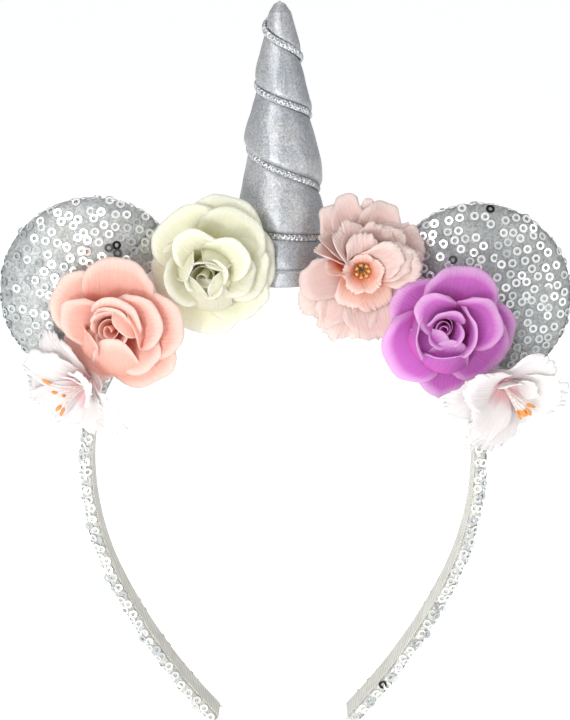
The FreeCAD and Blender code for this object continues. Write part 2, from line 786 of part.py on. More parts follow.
def make_flower(name):
    make_hub(name)
    rings = BLOSSOM_RINGS if "white" in name else ROSE_RINGS
    for level, (ring, settings) in enumerate(rings.items()):
        make_petal_ring(name, ring, settings, level)
    if "rose" in name:
        make_bud(name)
    elif "peach" in name:
        make_stamens(name, *PEACH_STAMENS)
    else:
        make_stamens(name, *WHITE_STAMENS)


# ---------------------------------------------------------------- build, check and write


def check_document():
    for thing in doc.Objects:
        bad = [state for state in thing.State if state in ("Invalid", "Error")]
        assert not bad, f"{thing.Label} is {bad}"
    for node in nodes:
        shape = node.Shape
        assert not shape.isNull() and shape.isValid(), f"{node.Label} has no valid shape"
        assert shape.Solids and shape.Volume > 0, f"{node.Label} isn't solid"


make_band()
for ear_side in EARS:
    make_ear(ear_side)
make_band_sequins()
make_horn()
for felt_side in FELT_ARCS:
    make_felt(felt_side)
for flower in FLOWERS:
    make_flower(flower)
doc.recompute()
check_document()
os.makedirs("parts", exist_ok=True)
for node in nodes:
    node.Shape.exportStep(f"parts/{node.Label}.step")
print(f"{len(nodes)} sub-parts, {sum(len(node.Shape.Solids) for node in nodes)} solids")
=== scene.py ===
import itertools
import random
from math import atan2, cos, hypot, pi, radians, sin, sqrt

import bpy
import numpy as np
from mathutils import Matrix, Vector, noise


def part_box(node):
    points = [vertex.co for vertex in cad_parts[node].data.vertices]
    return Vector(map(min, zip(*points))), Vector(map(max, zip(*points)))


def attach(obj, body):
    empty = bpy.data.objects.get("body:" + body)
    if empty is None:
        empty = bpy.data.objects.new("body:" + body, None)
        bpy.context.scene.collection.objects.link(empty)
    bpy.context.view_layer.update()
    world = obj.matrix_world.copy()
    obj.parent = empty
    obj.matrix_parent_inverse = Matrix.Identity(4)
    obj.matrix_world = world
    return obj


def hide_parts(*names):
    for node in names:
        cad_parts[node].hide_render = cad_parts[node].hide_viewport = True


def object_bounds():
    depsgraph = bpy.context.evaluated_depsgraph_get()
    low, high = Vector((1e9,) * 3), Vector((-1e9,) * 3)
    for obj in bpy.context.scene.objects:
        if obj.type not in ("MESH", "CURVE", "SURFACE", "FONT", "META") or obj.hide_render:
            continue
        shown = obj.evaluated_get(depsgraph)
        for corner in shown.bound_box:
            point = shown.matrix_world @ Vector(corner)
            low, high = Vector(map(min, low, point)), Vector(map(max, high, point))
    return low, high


# The looks of a unicorn-and-flowers headband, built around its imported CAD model. Its lengths are in
# millimetres and turned into metres when a mesh is made. The stage, the camera and the lights are in
# metres. +Z is up and -Y is the front.

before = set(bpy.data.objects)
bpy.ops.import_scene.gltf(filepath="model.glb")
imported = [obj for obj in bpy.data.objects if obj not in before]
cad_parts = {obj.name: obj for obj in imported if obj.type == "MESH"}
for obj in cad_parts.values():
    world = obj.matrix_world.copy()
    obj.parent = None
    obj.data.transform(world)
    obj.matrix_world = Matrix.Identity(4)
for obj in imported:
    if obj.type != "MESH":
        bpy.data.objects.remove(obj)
cad_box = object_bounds()

MM = 0.001
BACK = np.array([0.0, 1.0, 0.0])

# ---- driving dimensions

HEAD_RADIUS = 66.2
LEG_ARCS = ((100.0, 25.0), (200.0, 42.5))  # radius of each leg arc, and the turn at its end
BAND_WIDTH = 12.0
EAR_DISTANCE = 88.5
EAR_RADIUS = 32.0
EAR_DEPTH = 6.2
EAR_SEAT = 70.0
EAR_TURNS = {"left": -46.6, "right": 48.4}
HORN_FOOT = 70.0
HORN_LEAN = -0.7
SEQUIN_RADIUS = 1.5
SEQUIN_HOLE = 0.7
RIBBON_THICKNESS = 0.4
WRAP_THICKNESS = 0.35
EAR_COVER_THICKNESS = 0.4
HORN_COVER_THICKNESS = 0.5
PETAL_THICKNESS = 0.2

# ---- meshes


def unit(vectors):
    return vectors / np.linalg.norm(vectors, axis=-1, keepdims=True)


def length_along(line):
    """How far each point of a line is from its start, along it."""
    return np.concatenate([[0], np.cumsum(np.linalg.norm(np.diff(line, axis=0), axis=1))])


def add_object(name, data):
    thing = bpy.data.objects.new(name, data)
    bpy.context.scene.collection.objects.link(thing)
    return thing


def quads(index):
    """Faces of a grid of point numbers, facing the way its rows cross its columns."""
    corners = (index[:-1, :-1], index[1:, :-1], index[1:, 1:], index[:-1, 1:])
    return np.stack([c.ravel() for c in corners], 1)


def border(index):
    """The point numbers round a grid's edge, in order."""
    return np.concatenate([index[:-1, 0], index[-1, :-1], index[:0:-1, -1], index[0, :0:-1]])


def grid_normals(surface):
    across = np.cross(np.gradient(surface, axis=0), np.gradient(surface, axis=1))
    return across / (np.linalg.norm(across, axis=2, keepdims=True) + 1e-12)


def numbered(surface):
    """The point numbers of a grid of points."""
    return np.arange(surface[..., 0].size).reshape(surface.shape[:2])


class Pile:
    """The points, faces and painted values of one mesh, gathered piece by piece."""

    def __init__(self):
        self.points, self.faces, self.values, self.count = [], [], {}, 0

    def add(self, points, faces, **values):
        points = points.reshape(-1, 3)
        self.points.append(points)
        self.faces.append(faces + self.count)
        self.count += len(points)
        for name, value in values.items():
            self.values.setdefault(name, []).append(np.broadcast_to(value, len(points)))
        return self

    def sheet(self, surface, thickness, **values):
        """A grid of points made into a thin closed solid."""
        index = numbered(surface)
        half = grid_normals(surface) * thickness / 2
        points = np.concatenate([(surface + half).reshape(-1, 3), (surface - half).reshape(-1, 3)])
        edge = border(index)
        onward = np.roll(edge, -1)
        rim = np.stack([onward, edge, edge + index.size, onward + index.size], 1)
        faces = np.concatenate([quads(index), quads(index)[:, ::-1] + index.size, rim])
        doubled = {name: np.tile(np.ravel(value), 2) for name, value in values.items()}
        return self.add(points, faces, **doubled)

    def tube(self, path, radius, sides=8, **values):
        """A round tube along a path; radius is one number or one for each point."""
        along = unit(np.gradient(path, axis=0))
        side = unit(np.cross(along, (0.31, 0.9, 0.3)))
        other = np.cross(along, side)
        turn = np.arange(sides) * 2 * pi / sides
        ring = side[:, None] * np.cos(turn)[None, :, None] + other[:, None] * np.sin(turn)[None, :, None]
        surface = path[:, None] + ring * np.broadcast_to(radius, len(path))[:, None, None]
        index = numbered(surface)
        wall = quads(np.concatenate([index, index[:, :1]], 1))[:, ::-1]
        first, last = index[0], index[-1]
        start, end = np.full(sides, index.size), np.full(sides, index.size + 1)
        caps = [np.stack([first, np.roll(first, -1), start, start], 1),
                np.stack([np.roll(last, -1), last, end, end], 1)]
        points = np.concatenate([surface.reshape(-1, 3), path[:1], path[-1:]])
        return self.add(points, np.concatenate([wall] + caps), **values)

    def build(self, name, material, slot, node, smooth=True):
        """The piece, which rides on the one body in the place of its CAD node."""
        points = np.concatenate(self.points) * MM
        faces = [[a, b, c] if c == d else [a, b, c, d] for a, b, c, d in
                 np.concatenate(self.faces).tolist()]
        mesh = bpy.data.meshes.new(name)
        mesh.from_pydata(points.tolist(), [], faces)
        for key, parts in self.values.items():
            layer = mesh.attributes.new(key, "FLOAT", "POINT")
            layer.data.foreach_set("value", np.concatenate(parts).astype(np.float32))
        mesh.polygons.foreach_set("use_smooth", [smooth] * len(mesh.polygons))
        mesh.materials.append(material)
        mesh.update()
        piece = add_object(name, mesh)
        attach(piece, "root")
        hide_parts(node)
        return piece


def wobble(points, scale, seed=0.0):
    """Smooth noise between -1 and 1 at each point."""
    flat = points.reshape(-1, 3) / scale
    values = [noise.noise(Vector((x + seed, y, z))) for x, y, z in flat.tolist()]
    return np.array(values).reshape(points.shape[:-1])


def smooth_step(value, low, high):
    share = np.clip((value - low) / (high - low), 0, 1)
    return share * share * (3 - 2 * share)


# ---- materials


class Paint:
    """One material and short ways to wire its nodes."""

    def __init__(self, name, **settings):
        self.material = bpy.data.materials.new(name)
        self.material.use_nodes = True
        self.tree = self.material.node_tree
        self.shader = self.tree.nodes["Principled BSDF"]
        self.coordinates = self.node("TexCoord").outputs["Object"]
        for key, value in settings.items():
            self.join(value, self.shader.inputs[key.replace("_", " ").title()])

    def node(self, kind, sockets=None, **settings):
        """A new node, with some of its sockets set or linked by number or name."""
        node = self.tree.nodes.new("ShaderNode" + kind)
        for key, value in settings.items():
            setattr(node, key, value)
        for key, source in (sockets or {}).items():
            self.join(source, node.inputs[key])
        return node

    def join(self, source, target):
        """Links an output to a socket, or sets the socket to a number, a vector or a colour."""
        if isinstance(source, tuple) and target.type == "RGBA":
            source = (*source, 1)
        if isinstance(source, (int, float, tuple)):
            target.default_value = source
        else:
            self.tree.links.new(source, target)

    def value(self, name):
        """A number painted on the mesh."""
        return self.node("Attribute", attribute_name=name).outputs["Fac"]

    def math(self, operation, first, second=0.0):
        return self.node("Math", {0: first, 1: second}, operation=operation).outputs[0]

    def noise(self, scale, detail=3.0, roughness=0.5, stretch=None):
        place = self.coordinates
        if stretch:
            place = self.node("Mapping", {"Scale": stretch, "Vector": place}).outputs[0]
        sockets = {"Scale": scale, "Detail": detail, "Roughness": roughness, "Vector": place}
        return self.node("TexNoise", sockets).outputs["Fac"]

    def cells(self, scale, output="Distance"):
        sockets = {"Scale": scale, "Vector": self.coordinates}
        return self.node("TexVoronoi", sockets).outputs[output]

    def waves(self, source, period):
        """A ripple from 0 to 1 over a painted length in millimetres."""
        ripple = self.math("SINE", self.math("MULTIPLY", source, 2 * pi / period))
        return self.math("ADD", self.math("MULTIPLY", ripple, 0.5), 0.5)

    def ramp(self, source, *stops):
        """Colours along a value: stops are (place, (red, green, blue))."""
        node = self.node("ValToRGB", {"Fac": source})
        while len(node.color_ramp.elements) < len(stops):
            node.color_ramp.elements.new(0.5)
        for element, (place, colour) in zip(node.color_ramp.elements, stops):
            element.position = place
            element.color = (*colour, 1)
        return node.outputs["Color"]

    def range(self, source, low, high, to_low, to_high):
        sockets = dict(enumerate((source, low, high, to_low, to_high)))
        return self.node("MapRange", sockets).outputs[0]

    def mix(self, share, first, second, blend="MIX"):
        return self.node("MixRGB", {0: share, 1: first, 2: second}, blend_type=blend).outputs[0]

    def relief(self):
        """The relief that the surface has so far, for the next node's normal."""
        normal = self.shader.inputs["Normal"]
        return {"Normal": normal.links[0].from_socket} if normal.is_linked else {}

    def bump(self, height, strength, distance):
        """Adds relief to the surface, distance in millimetres, on top of any that it has."""
        sockets = {"Strength": strength, "Distance": distance * MM, "Height": height}
        node = self.node("Bump", sockets | self.relief())
        self.join(node.outputs[0], self.shader.inputs["Normal"])

    def colour(self, source):
        self.join(source, self.shader.inputs["Base Color"])

    def roughness(self, source):
        self.join(source, self.shader.inputs["Roughness"])

    def see_through(self, share, colour):
        """Lets a share of the light through the cloth, tinted by a colour."""
        glow = self.node("BsdfTranslucent", {"Color": colour} | self.relief())
        blend = self.node("MixShader", {0: share, 1: self.shader.outputs[0], 2: glow.outputs[0]})
        self.join(blend.outputs[0], self.tree.nodes["Material Output"].inputs["Surface"])


def mesh_ground_paint(name, dye_and_shade):
    """Fine silver net with a foil sparkle, the ground that the sequins are sewn to."""
    paint = Paint(name, metallic=0.35, roughness=0.5)
    grain = paint.cells(1350, "Color")
    tone = paint.noise(90, 2.0)
    # the foil is scaled per piece: warmer and brighter on the band, and on the right ear darker than on
    # the left as painted shade
    foil = [tuple(share * c for c in dye_and_shade) for share in (0.37, 0.48, 0.64)]
    sparkle = paint.ramp(grain, (0.1, foil[0]), (0.5, foil[1]), (0.9, foil[2]))
    cloud = paint.ramp(tone, (0.3, (0.86, 0.88, 0.91)), (0.7, (1.0, 1.0, 0.97)))
    paint.colour(paint.mix(1.0, sparkle, cloud, "MULTIPLY"))
    paint.roughness(paint.range(tone, 0.3, 0.7, 0.38, 0.6))
    paint.bump(paint.cells(1900), 0.4, 0.15)
    return paint.material


def sequin_paint():
    """Thin film rings: mostly white silver, some smoky or blue, and a very few black; on the ears the
    tint holds a painted highlight, whiter towards the top.
    """
    paint = Paint("sequin_film", metallic=0.55, roughness=0.24)
    black = (0.012, 0.012, 0.014)
    tints = ((0.0, black), (0.012, black), (0.014, (0.40, 0.43, 0.44)), (0.35, (0.52, 0.55, 0.55)),
             (0.7, (0.76, 0.78, 0.77)), (1.0, (1.0, 1.0, 0.99)))
    paint.colour(paint.ramp(paint.value("tint"), *tints))
    paint.roughness(paint.range(paint.noise(700, 2.0), 0.3, 0.7, 0.18, 0.34))
    paint.bump(paint.noise(900, 2.0), 0.15, 0.1)
    return paint.material


def lame_paint():
    """Silver lame: matt foil on a fine knit, in soft clouds, with painted shade where it is drawn in
    over the cord and darker along the seam at its hem.
    """
    paint = Paint("silver_lame", metallic=0.5, roughness=0.4)
    cloud = paint.noise(55, 3.0, 0.6)
    grain = paint.noise(1500, 3.0, 0.7)
    base = paint.ramp(cloud, (0.3, (0.38, 0.40, 0.44)), (0.55, (0.46, 0.47, 0.49)),
                      (0.75, (0.56, 0.56, 0.55)))
    flecks = paint.ramp(grain, (0.36, (0.62, 0.63, 0.65)), (0.5, (0.86, 0.86, 0.86)),
                        (0.64, (1.2, 1.19, 1.15)))
    cloth = paint.mix(0.9, base, flecks, "MULTIPLY")
    # painted shade: the crease value darkens the cloth towards near black in the crease over the cord,
    # and along the hem's seam
    crease = paint.math("MULTIPLY", paint.value("crease"), 0.8)
    paint.colour(paint.mix(crease, cloth, (0.10, 0.11, 0.12)))
    paint.roughness(paint.range(grain, 0.3, 0.7, 0.32, 0.48))
    paint.bump(paint.noise(420, 4.0, 0.65), 0.35, 0.5)
    paint.bump(grain, 0.5, 0.15)
    return paint.material


def cord_paint():
    """Metallised thread in fine streaks of painted highlight and painted shade, standing for the shine
    on top of each strand and the dark in between.
    """
    paint = Paint("metallic_cord", metallic=0.7, roughness=0.36)
    thread = paint.noise(1500, 2.0, 0.5, (1.0, 1.0, 0.35))
    # painted highlight and painted shade: the thread's colour runs from dark to bright in fine streaks
    paint.colour(paint.ramp(thread, (0.3, (0.30, 0.31, 0.33)), (0.52, (0.52, 0.53, 0.55)),
                            (0.72, (0.82, 0.83, 0.83))))
    paint.bump(thread, 0.5, 0.12)
    return paint.material


def grosgrain_paint():
    """Ribbed ribbon: fine ribs straight across, slightly uneven in tone."""
    paint = Paint("grosgrain", roughness=0.78, sheen_weight=0.25)
    ribs = paint.waves(paint.value("along"), 0.9)
    tone = paint.noise(160, 3.0)
    cloth = paint.ramp(tone, (0.3, (0.66, 0.65, 0.59)), (0.7, (0.78, 0.77, 0.71)))
    shade = paint.ramp(ribs, (0.0, (0.72, 0.72, 0.7)), (0.6, (1.0, 1.0, 1.0)))
    paint.colour(paint.mix(1.0, cloth, shade, "MULTIPLY"))
    paint.bump(ribs, 0.8, 0.2)
    paint.bump(paint.noise(2200, 2.0), 0.25, 0.08)
    return paint.material


# each cloth's colour at its foot, over its body and at its rim; how thin it is; how strongly its
# throat line and its veins show; and how far up the petal the dye of its foot reaches
PETAL_CLOTHS = {
    "coral": ((1.0, 0.40, 0.27), (1.0, 0.63, 0.53), (1.0, 0.86, 0.78), 0.4, 0.05, 0.12, 0.6),
    "ivory": ((0.97, 0.98, 0.50), (0.90, 0.90, 0.74), (0.94, 0.95, 0.87), 0.45, 0.05, 0.12, 0.5),
    "violet": ((0.84, 0.13, 0.65), (0.71, 0.21, 0.68), (0.93, 0.67, 0.92), 0.45, 0.05, 0.2, 0.6),
    "peach": ((0.98, 0.46, 0.29), (0.87, 0.69, 0.64), (0.90, 0.80, 0.76), 0.42, 0.08, 0.09, 0.5),
    "peach_heart": ((1.0, 0.44, 0.24), (0.93, 0.67, 0.58), (0.95, 0.82, 0.76), 0.42, 0.08, 0.14, 0.7),
    "white": ((0.95, 0.68, 0.70), (0.92, 0.90, 0.89), (0.97, 0.965, 0.955), 0.4, 0.16, 0.05, 0.32),
}


def petal_paint(cloth):
    """Dyed petal cloth: deep at its foot, paler to the rim, with a fine weave and a soft sheen."""
    deep, body, rim, thinness, throat, veins, reach = PETAL_CLOTHS[cloth]
    paint = Paint(f"petal_{cloth}", roughness=0.72, sheen_weight=0.15)
    warp = paint.value("warp")
    blotch = paint.math("MULTIPLY", paint.math("SUBTRACT", paint.noise(130, 3.0), 0.5), 0.25)
    line = paint.range(paint.math("ABSOLUTE", warp), 0.0, 1.2, throat, 0.0)
    along = paint.math("SUBTRACT", paint.math("ADD", paint.value("along"), blotch), line)
    dyed = paint.ramp(along, (0.27 * reach, deep), (reach, body), (0.9, body))
    bent = paint.math("ADD", warp, paint.math("MULTIPLY", paint.noise(150, 2.0), 4.0))
    vein = paint.math("MULTIPLY", paint.waves(bent, 1.7), paint.waves(warp, 1.1))
    dyed = paint.mix(paint.range(vein, 0.2, 1.0, 0.0, veins), dyed, deep)
    dyed = paint.mix(paint.range(paint.value("rim"), 0.35, 1.0, 0.0, 0.8), dyed, rim)
    washed = paint.ramp(paint.value("tint"), (0.0, (0.92, 0.90, 0.91)), (1.0, (1.0, 1.0, 1.0)))
    colour = paint.mix(1.0, dyed, washed, "MULTIPLY")
    paint.colour(colour)
    weave = paint.math("MULTIPLY", paint.waves(warp, 0.32), paint.waves(paint.value("weft"), 0.32))
    paint.bump(weave, 0.25, 0.06)
    paint.bump(vein, 0.4, 0.22)
    paint.bump(paint.noise(260, 4.0, 0.6), 0.35, 0.5)
    paint.see_through(thinness, colour)
    return paint.material


def stamen_paint(name, stalk, knob):
    """A glossy filament in one colour with an anther in another, both faintly mottled."""
    paint = Paint(name, roughness=0.3, coat_weight=0.4)
    spots = paint.noise(1400, 2.0)
    mottled = paint.ramp(spots, (0.35, (0.75, 0.7, 0.65)), (0.65, (1.0, 1.0, 1.0)))
    along = paint.ramp(paint.value("along"), (0.0, stalk), (0.66, stalk), (0.72, knob))
    paint.colour(paint.mix(1.0, along, mottled, "MULTIPLY"))
    paint.bump(spots, 0.4, 0.15)
    return paint.material


def felt_paint():
    """Pale felt, matt and fibrous."""
    paint = Paint("felt", roughness=0.95, sheen_weight=0.5)
    fibre = paint.noise(900, 4.0, 0.7)
    paint.colour(paint.ramp(fibre, (0.3, (0.62, 0.62, 0.60)), (0.7, (0.84, 0.84, 0.82))))
    paint.bump(fibre, 0.7, 0.4)
    return paint.material


def plastic_paint(name, colour, roughness):
    """Moulded plastic with faint flow marks and a fine satin grain."""
    paint = Paint(name, roughness=roughness)
    flow = paint.noise(60, 3.0, 0.5, (1.0, 1.0, 0.3))
    low = tuple(0.86 * c for c in colour)
    paint.colour(paint.ramp(flow, (0.3, low), (0.7, colour)))
    paint.roughness(paint.range(paint.noise(500), 0.3, 0.7, roughness - 0.06, roughness + 0.08))
    paint.bump(paint.noise(1800, 2.0), 0.2, 0.05)
    return paint.material


def fibre_paint(name, low, high, scale, relief):
    """Foam, board or stuffing: a matt fibrous or porous body."""
    paint = Paint(name, roughness=0.9)
    pores = paint.cells(scale)
    cloud = paint.noise(scale / 6, 4.0, 0.6)
    porous = paint.ramp(pores, (0.1, low), (0.5, high))
    paint.colour(paint.mix(0.5, porous, paint.ramp(cloud, (0.3, low), (0.7, high))))
    paint.bump(pores, 0.6, relief)
    return paint.material


# ---- stage, camera and lights

CAMERA_DISTANCE = 0.62
CAMERA_ELEVATION = 13.0
CAMERA_AIM = Vector((0.0007, 0.0, 0.0366))
VIEW_HEIGHT = 0.2484  # metres from the view's foot to its top, in the plane of the aim


def make_camera():
    data = bpy.data.cameras.new("camera")
    camera = add_object("camera", data)
    tilt = radians(CAMERA_ELEVATION)
    back = Vector((0, -cos(tilt), sin(tilt)))
    camera.location = CAMERA_AIM + back * CAMERA_DISTANCE
    camera.rotation_euler = (pi / 2 - tilt, 0, 0)
    data.sensor_fit = "VERTICAL"
    data.sensor_height = 24
    data.lens = data.sensor_height * CAMERA_DISTANCE / VIEW_HEIGHT
    data.clip_start = 0.01
    data.clip_end = 100
    bpy.context.scene.camera = camera


FLOOR_HEIGHT = cad_box[0].z / MM - 1.2
FLOOR_HALF = 12.0


def make_floor():
    """A wide white floor that glows a little, so that it stays white up to the horizon."""
    corners = [(x * FLOOR_HALF, y * FLOOR_HALF, FLOOR_HEIGHT * MM)
               for x, y in ((-1, -1), (1, -1), (1, 1), (-1, 1))]
    mesh = bpy.data.meshes.new("floor")
    mesh.from_pydata(corners, [], [(0, 1, 2, 3)])
    floor = add_object("floor", mesh)
    paint = Paint("floor", roughness=0.9, base_color=(0.9, 0.9, 0.9), emission_color=(1, 1, 1),
                  emission_strength=0.6)
    mesh.materials.append(paint.material)


def area_light(name, place, aim, width, height, power):
    data = bpy.data.lights.new(name, "AREA")
    data.shape = "RECTANGLE"
    data.size, data.size_y = width, height
    data.energy = power
    light = add_object(name, data)
    light.location = place
    light.rotation_euler = (Vector(aim) - Vector(place)).to_track_quat("-Z", "Y").to_euler()


def make_lights():
    world = bpy.data.worlds.new("studio")
    world.use_nodes = True
    background = world.node_tree.nodes["Background"]
    background.inputs["Color"].default_value = (0.98, 0.99, 1.0, 1)
    background.inputs["Strength"].default_value = 0.44
    bpy.context.scene.world = world
    middle = (0, 0, 0.04)
    area_light("key", (-0.45, -0.8, 0.7), middle, 0.45, 0.45, 3.8)
    area_light("flash", (-0.3, -1.1, 0.2), middle, 0.3, 0.3, 1.9)
    area_light("card", (-0.26, -0.52, -0.02), (0, 0, 0.105), 0.10, 0.08, 1.0)
    area_light("fill", (0.8, -0.7, 0.3), middle, 0.6, 0.8, 1.6)
    area_light("top", (0.0, 0.25, 1.0), middle, 0.8, 0.6, 2.4)
    bpy.context.scene.view_settings.view_transform = "Standard"


make_camera()
make_floor()
make_lights()

# ---- the band


def arc(centre, radius, angles):
    """Points of an arc, each with the direction out of it."""
    outward = np.stack([np.cos(angles), np.sin(angles)], 1)
    return np.stack([centre + outward * radius, outward], 1)


def band_line(spacing):
    """Points of the band's inner line from the left tip to the right, with outward directions."""
    centre, previous, start = np.zeros(2), HEAD_RADIUS, 0.0
    steps = round(pi * HEAD_RADIUS / spacing)
    top = arc(centre, HEAD_RADIUS, np.linspace(pi, 0, steps + 1))
    leg = []
    for radius, turn in LEG_ARCS:
        angle = radians(-start)
        centre = centre - np.array([cos(angle), sin(angle)]) * (radius - previous)
        steps = max(2, round(radians(turn - start) * radius / spacing))
        leg.append(arc(centre, radius, np.radians(-np.linspace(start, turn, steps + 1)[1:])))
        previous, start = radius, turn
    leg = np.concatenate(leg)
    line = np.concatenate([leg[::-1] * (-1.0, 1.0), top, leg])
    points, outward = np.insert(line, 1, 0.0, axis=2).transpose(1, 0, 2)
    return points, outward, length_along(points)


def band_surface(section, spacing):
    """A grid that carries a section, as (depth, height over the inner line), along the band."""
    points, outward, length = band_line(spacing)
    surface = (points[:, None] + outward[:, None] * section[None, :, 1, None]
               + BACK * section[None, :, 0, None])
    return surface, np.broadcast_to(length[:, None], surface.shape[:2])


RIBBON_LIFT = 0.12  # over the band's inner line


def make_ribbon(paint):
    """The grosgrain lining, a little uneven along its two edges."""
    depths = np.linspace(-1, 1, 15) * BAND_WIDTH * 0.46
    section = np.stack([depths, np.full_like(depths, RIBBON_LIFT)], 1)
    surface, along = band_surface(section, 0.6)
    surface[..., 1] *= 1 + 0.02 * wobble(surface * (1, 0, 1), 6.0)
    surface[..., 0] *= 1 + 0.0006 * wobble(surface, 5.0, 3.0)
    pile = Pile().sheet(surface, RIBBON_THICKNESS, along=along)
    piece = pile.build("band_lining", paint, "grosgrain", "band_lining_ribbon")


# the wrap's section, as depth and height over the band's inner line
WRAP_HALF = np.array([(-4.9, 0.42), (-5.7, 0.5), (-6.25, 1.0), (-6.5, 2.0), (-6.3, 3.0), (-5.5, 3.7),
                      (-3.8, 3.95), (-1.9, 4.0)])
WRAP_SECTION = np.concatenate([WRAP_HALF, [(0.0, 4.0)], WRAP_HALF[::-1] * (-1, 1)])


def add_stray_threads(pile, surface):
    """Ends of the mesh's threads that stand out past the band's two tips."""
    dice = random.Random(5)
    for tip, inner in ((surface[0], surface[4]), (surface[-1], surface[-5])):
        onward = unit((tip - inner).mean(axis=0))
        for start in tip[1:-1]:
            stray = np.array([dice.gauss(0, 0.5), dice.gauss(0, 0.4), abs(dice.gauss(0, 0.7))])
            share = np.linspace(0, 1, 7)[:, None]
            thread = start + dice.uniform(0.8, 2.6) * (onward * share * 0.6 + stray * share**2)
            thread[:, 2] = np.maximum(thread[:, 2], FLOOR_HEIGHT + 0.3)
            pile.tube(thread, 0.13, 5, along=0.0)


def make_wrap(paint):
    """Sequin mesh drawn round the outside of the band and over both of its edges."""
    surface, along = band_surface(WRAP_SECTION, 1.2)
    lumps = wobble(surface, 3.2) * 0.22
    surface = surface + grid_normals(surface) * lumps[..., None]
    pile = Pile().sheet(surface, WRAP_THICKNESS, along=along)
    add_stray_threads(pile, surface)
    piece = pile.build("band_wrap", paint, "silver_mesh", "band_sequin_mesh")


def ring_template(segments=14, thickness=0.12):
    """A flat film ring about +Z, as points and faces."""
    turn = np.arange(segments) * 2 * pi / segments
    profile = ((SEQUIN_HOLE, -thickness / 2), (SEQUIN_RADIUS, -thickness / 2),
               (SEQUIN_RADIUS, thickness / 2), (SEQUIN_HOLE, thickness / 2))
    points = np.array([[[r * cos(a), r * sin(a), z] for r, z in profile] for a in turn])
    index = np.arange(segments * 4).reshape(segments, 4)
    wrapped = np.concatenate([index, index[:1]])
    wrapped = np.concatenate([wrapped, wrapped[:, :1]], 1)
    return points.reshape(-1, 3), quads(wrapped)


RING_POINTS, RING_FACES = ring_template()


def lay_sequin(pile, place, normal, tilt, tint, dice):
    """One ring on a surface, tipped a little in a random direction."""
    spin = Vector(normal).normalized().to_track_quat("Z", "Y").to_matrix()
    hinge = Vector((cos(dice.uniform(0, 6.28)), sin(dice.uniform(0, 6.28)), 0))
    turned = np.array(spin @ Matrix.Rotation(tilt, 3, hinge)) @ RING_POINTS.T
    pile.add(turned.T + place, RING_FACES, tint=tint)


# each row's depth, height over the band's inner line, turn from straight out, and spacing
BAND_ROWS = ((-6.7, 1.75, -92, 3.9), (-6.5, 3.2, -70, 4.3), (-4.4, 4.05, -14, 3.9),
             (-1.5, 4.25, 0, 4.1), (1.5, 4.25, 0, 4.1), (4.4, 4.05, 14, 3.9), (6.5, 3.2, 70, 4.3),
             (6.7, 1.9, 90, 4.6))


def make_band_sequins(paint):
    """Rings in uneven rows round the wrap, from its front edge over its top to its back edge."""
    dice = random.Random(11)
    points, outward, length = band_line(0.5)
    pile = Pile()
    for depth, height, turn, step in BAND_ROWS:
        lean = radians(turn)
        station = dice.uniform(0, step)
        while station < length[-1]:
            at = min(int(np.searchsorted(length, station)), len(points) - 1)
            out = outward[at]
            normal = out * cos(lean) + BACK * sin(lean)
            lift = 0.15 + dice.uniform(0, 0.35)
            place = (points[at] + out * (height + dice.uniform(-0.4, 0.4) * abs(sin(lean)))
                     + BACK * (depth + dice.uniform(-0.5, 0.5) * abs(cos(lean))) + normal * lift)
            tint = dice.uniform(0.0, 0.35) if dice.random() < 0.2 else dice.uniform(0.5, 0.85)
            lay_sequin(pile, place, normal, radians(dice.uniform(0, 20)), tint, dice)
            station += step * dice.uniform(0.75, 1.15)
    pile.build("band_ring_sequins", paint, "sequin_film", "band_sequins", smooth=False)


# ---- the ears


FACES = {"front": -1, "back": 1}  # the way along y that each side of an ear faces
RIM_GATHERS = 46
BOARD_FACE = 0.5  # how far in front of and behind the ear's middle its stiffener board reaches


def ear_frame(side):
    """The ear's centre, and its own across and up directions, in the row frame."""
    turn = radians(EAR_TURNS[side])
    up = np.array([sin(turn), 0.0, cos(turn)])
    across = np.array([cos(turn), 0.0, -sin(turn)])
    return up * EAR_DISTANCE, across, up


def ear_outline(angle, inset=0.0):
    """How far the ear reaches from its centre at an angle: its round edge or its seat."""
    radius, seat = EAR_RADIUS - inset, EAR_SEAT + inset
    drop = EAR_DISTANCE * sin(angle)
    inside = drop * drop - (EAR_DISTANCE**2 - seat**2)
    if drop < 0 and inside > 0:
        return min(radius, -drop - sqrt(inside))
    return radius


def ear_height(share):
    """The ear's half thickness, from 1 at the middle to 0 at the rim, plump like a pillow."""
    return np.sqrt(np.clip(1 - share**2.4, 0, 1))


def ear_dome(side, face, inset=0.0, rows=30, columns=120):
    """The front (-1) or back (+1) of an ear as a grid from its centre to its rim."""
    centre, across, up = ear_frame(side)
    shares = np.sin(np.linspace(0, pi / 2, rows)) ** 0.8
    angles = np.linspace(0, 2 * pi, columns + 1)
    reach = np.array([ear_outline(a, inset) for a in angles])
    flat_x = shares[:, None] * reach * np.cos(angles)
    flat_z = shares[:, None] * reach * np.sin(angles)
    height = (EAR_DEPTH - inset) * ear_height(shares)[:, None, None]
    surface = centre + flat_x[..., None] * across + flat_z[..., None] * up + height * face * BACK
    return surface, shares


def make_ear_cover(side, label, face, paint):
    """One domed face of an ear: soft hollows all over and small gathers at its sewn rim."""
    surface, shares = ear_dome(side, face)
    dents = wobble(surface, 11.0, 5.0) * 0.45 + wobble(surface, 4.0, 1.0) * 0.14
    angle = np.linspace(0, 2 * pi, surface.shape[1])
    gathers = 0.3 * np.sin(angle * RIM_GATHERS + 2 * np.sin(angle * 5))
    gathers = gathers * smooth_step(shares, 0.75, 0.95)[:, None]
    fade = np.clip((1 - shares) * 8, 0, 1)[:, None]
    surface = surface + face * BACK * ((dents + gathers) * fade)[..., None]
    surface[:, -1] = surface[:, 0]
    if face > 0:
        surface = surface[:, ::-1]
    pile = Pile().sheet(surface, EAR_COVER_THICKNESS)
    piece = pile.build(f"{side}_ear_{label}", paint, "silver_mesh", f"{side}_ear_{label}_cover")


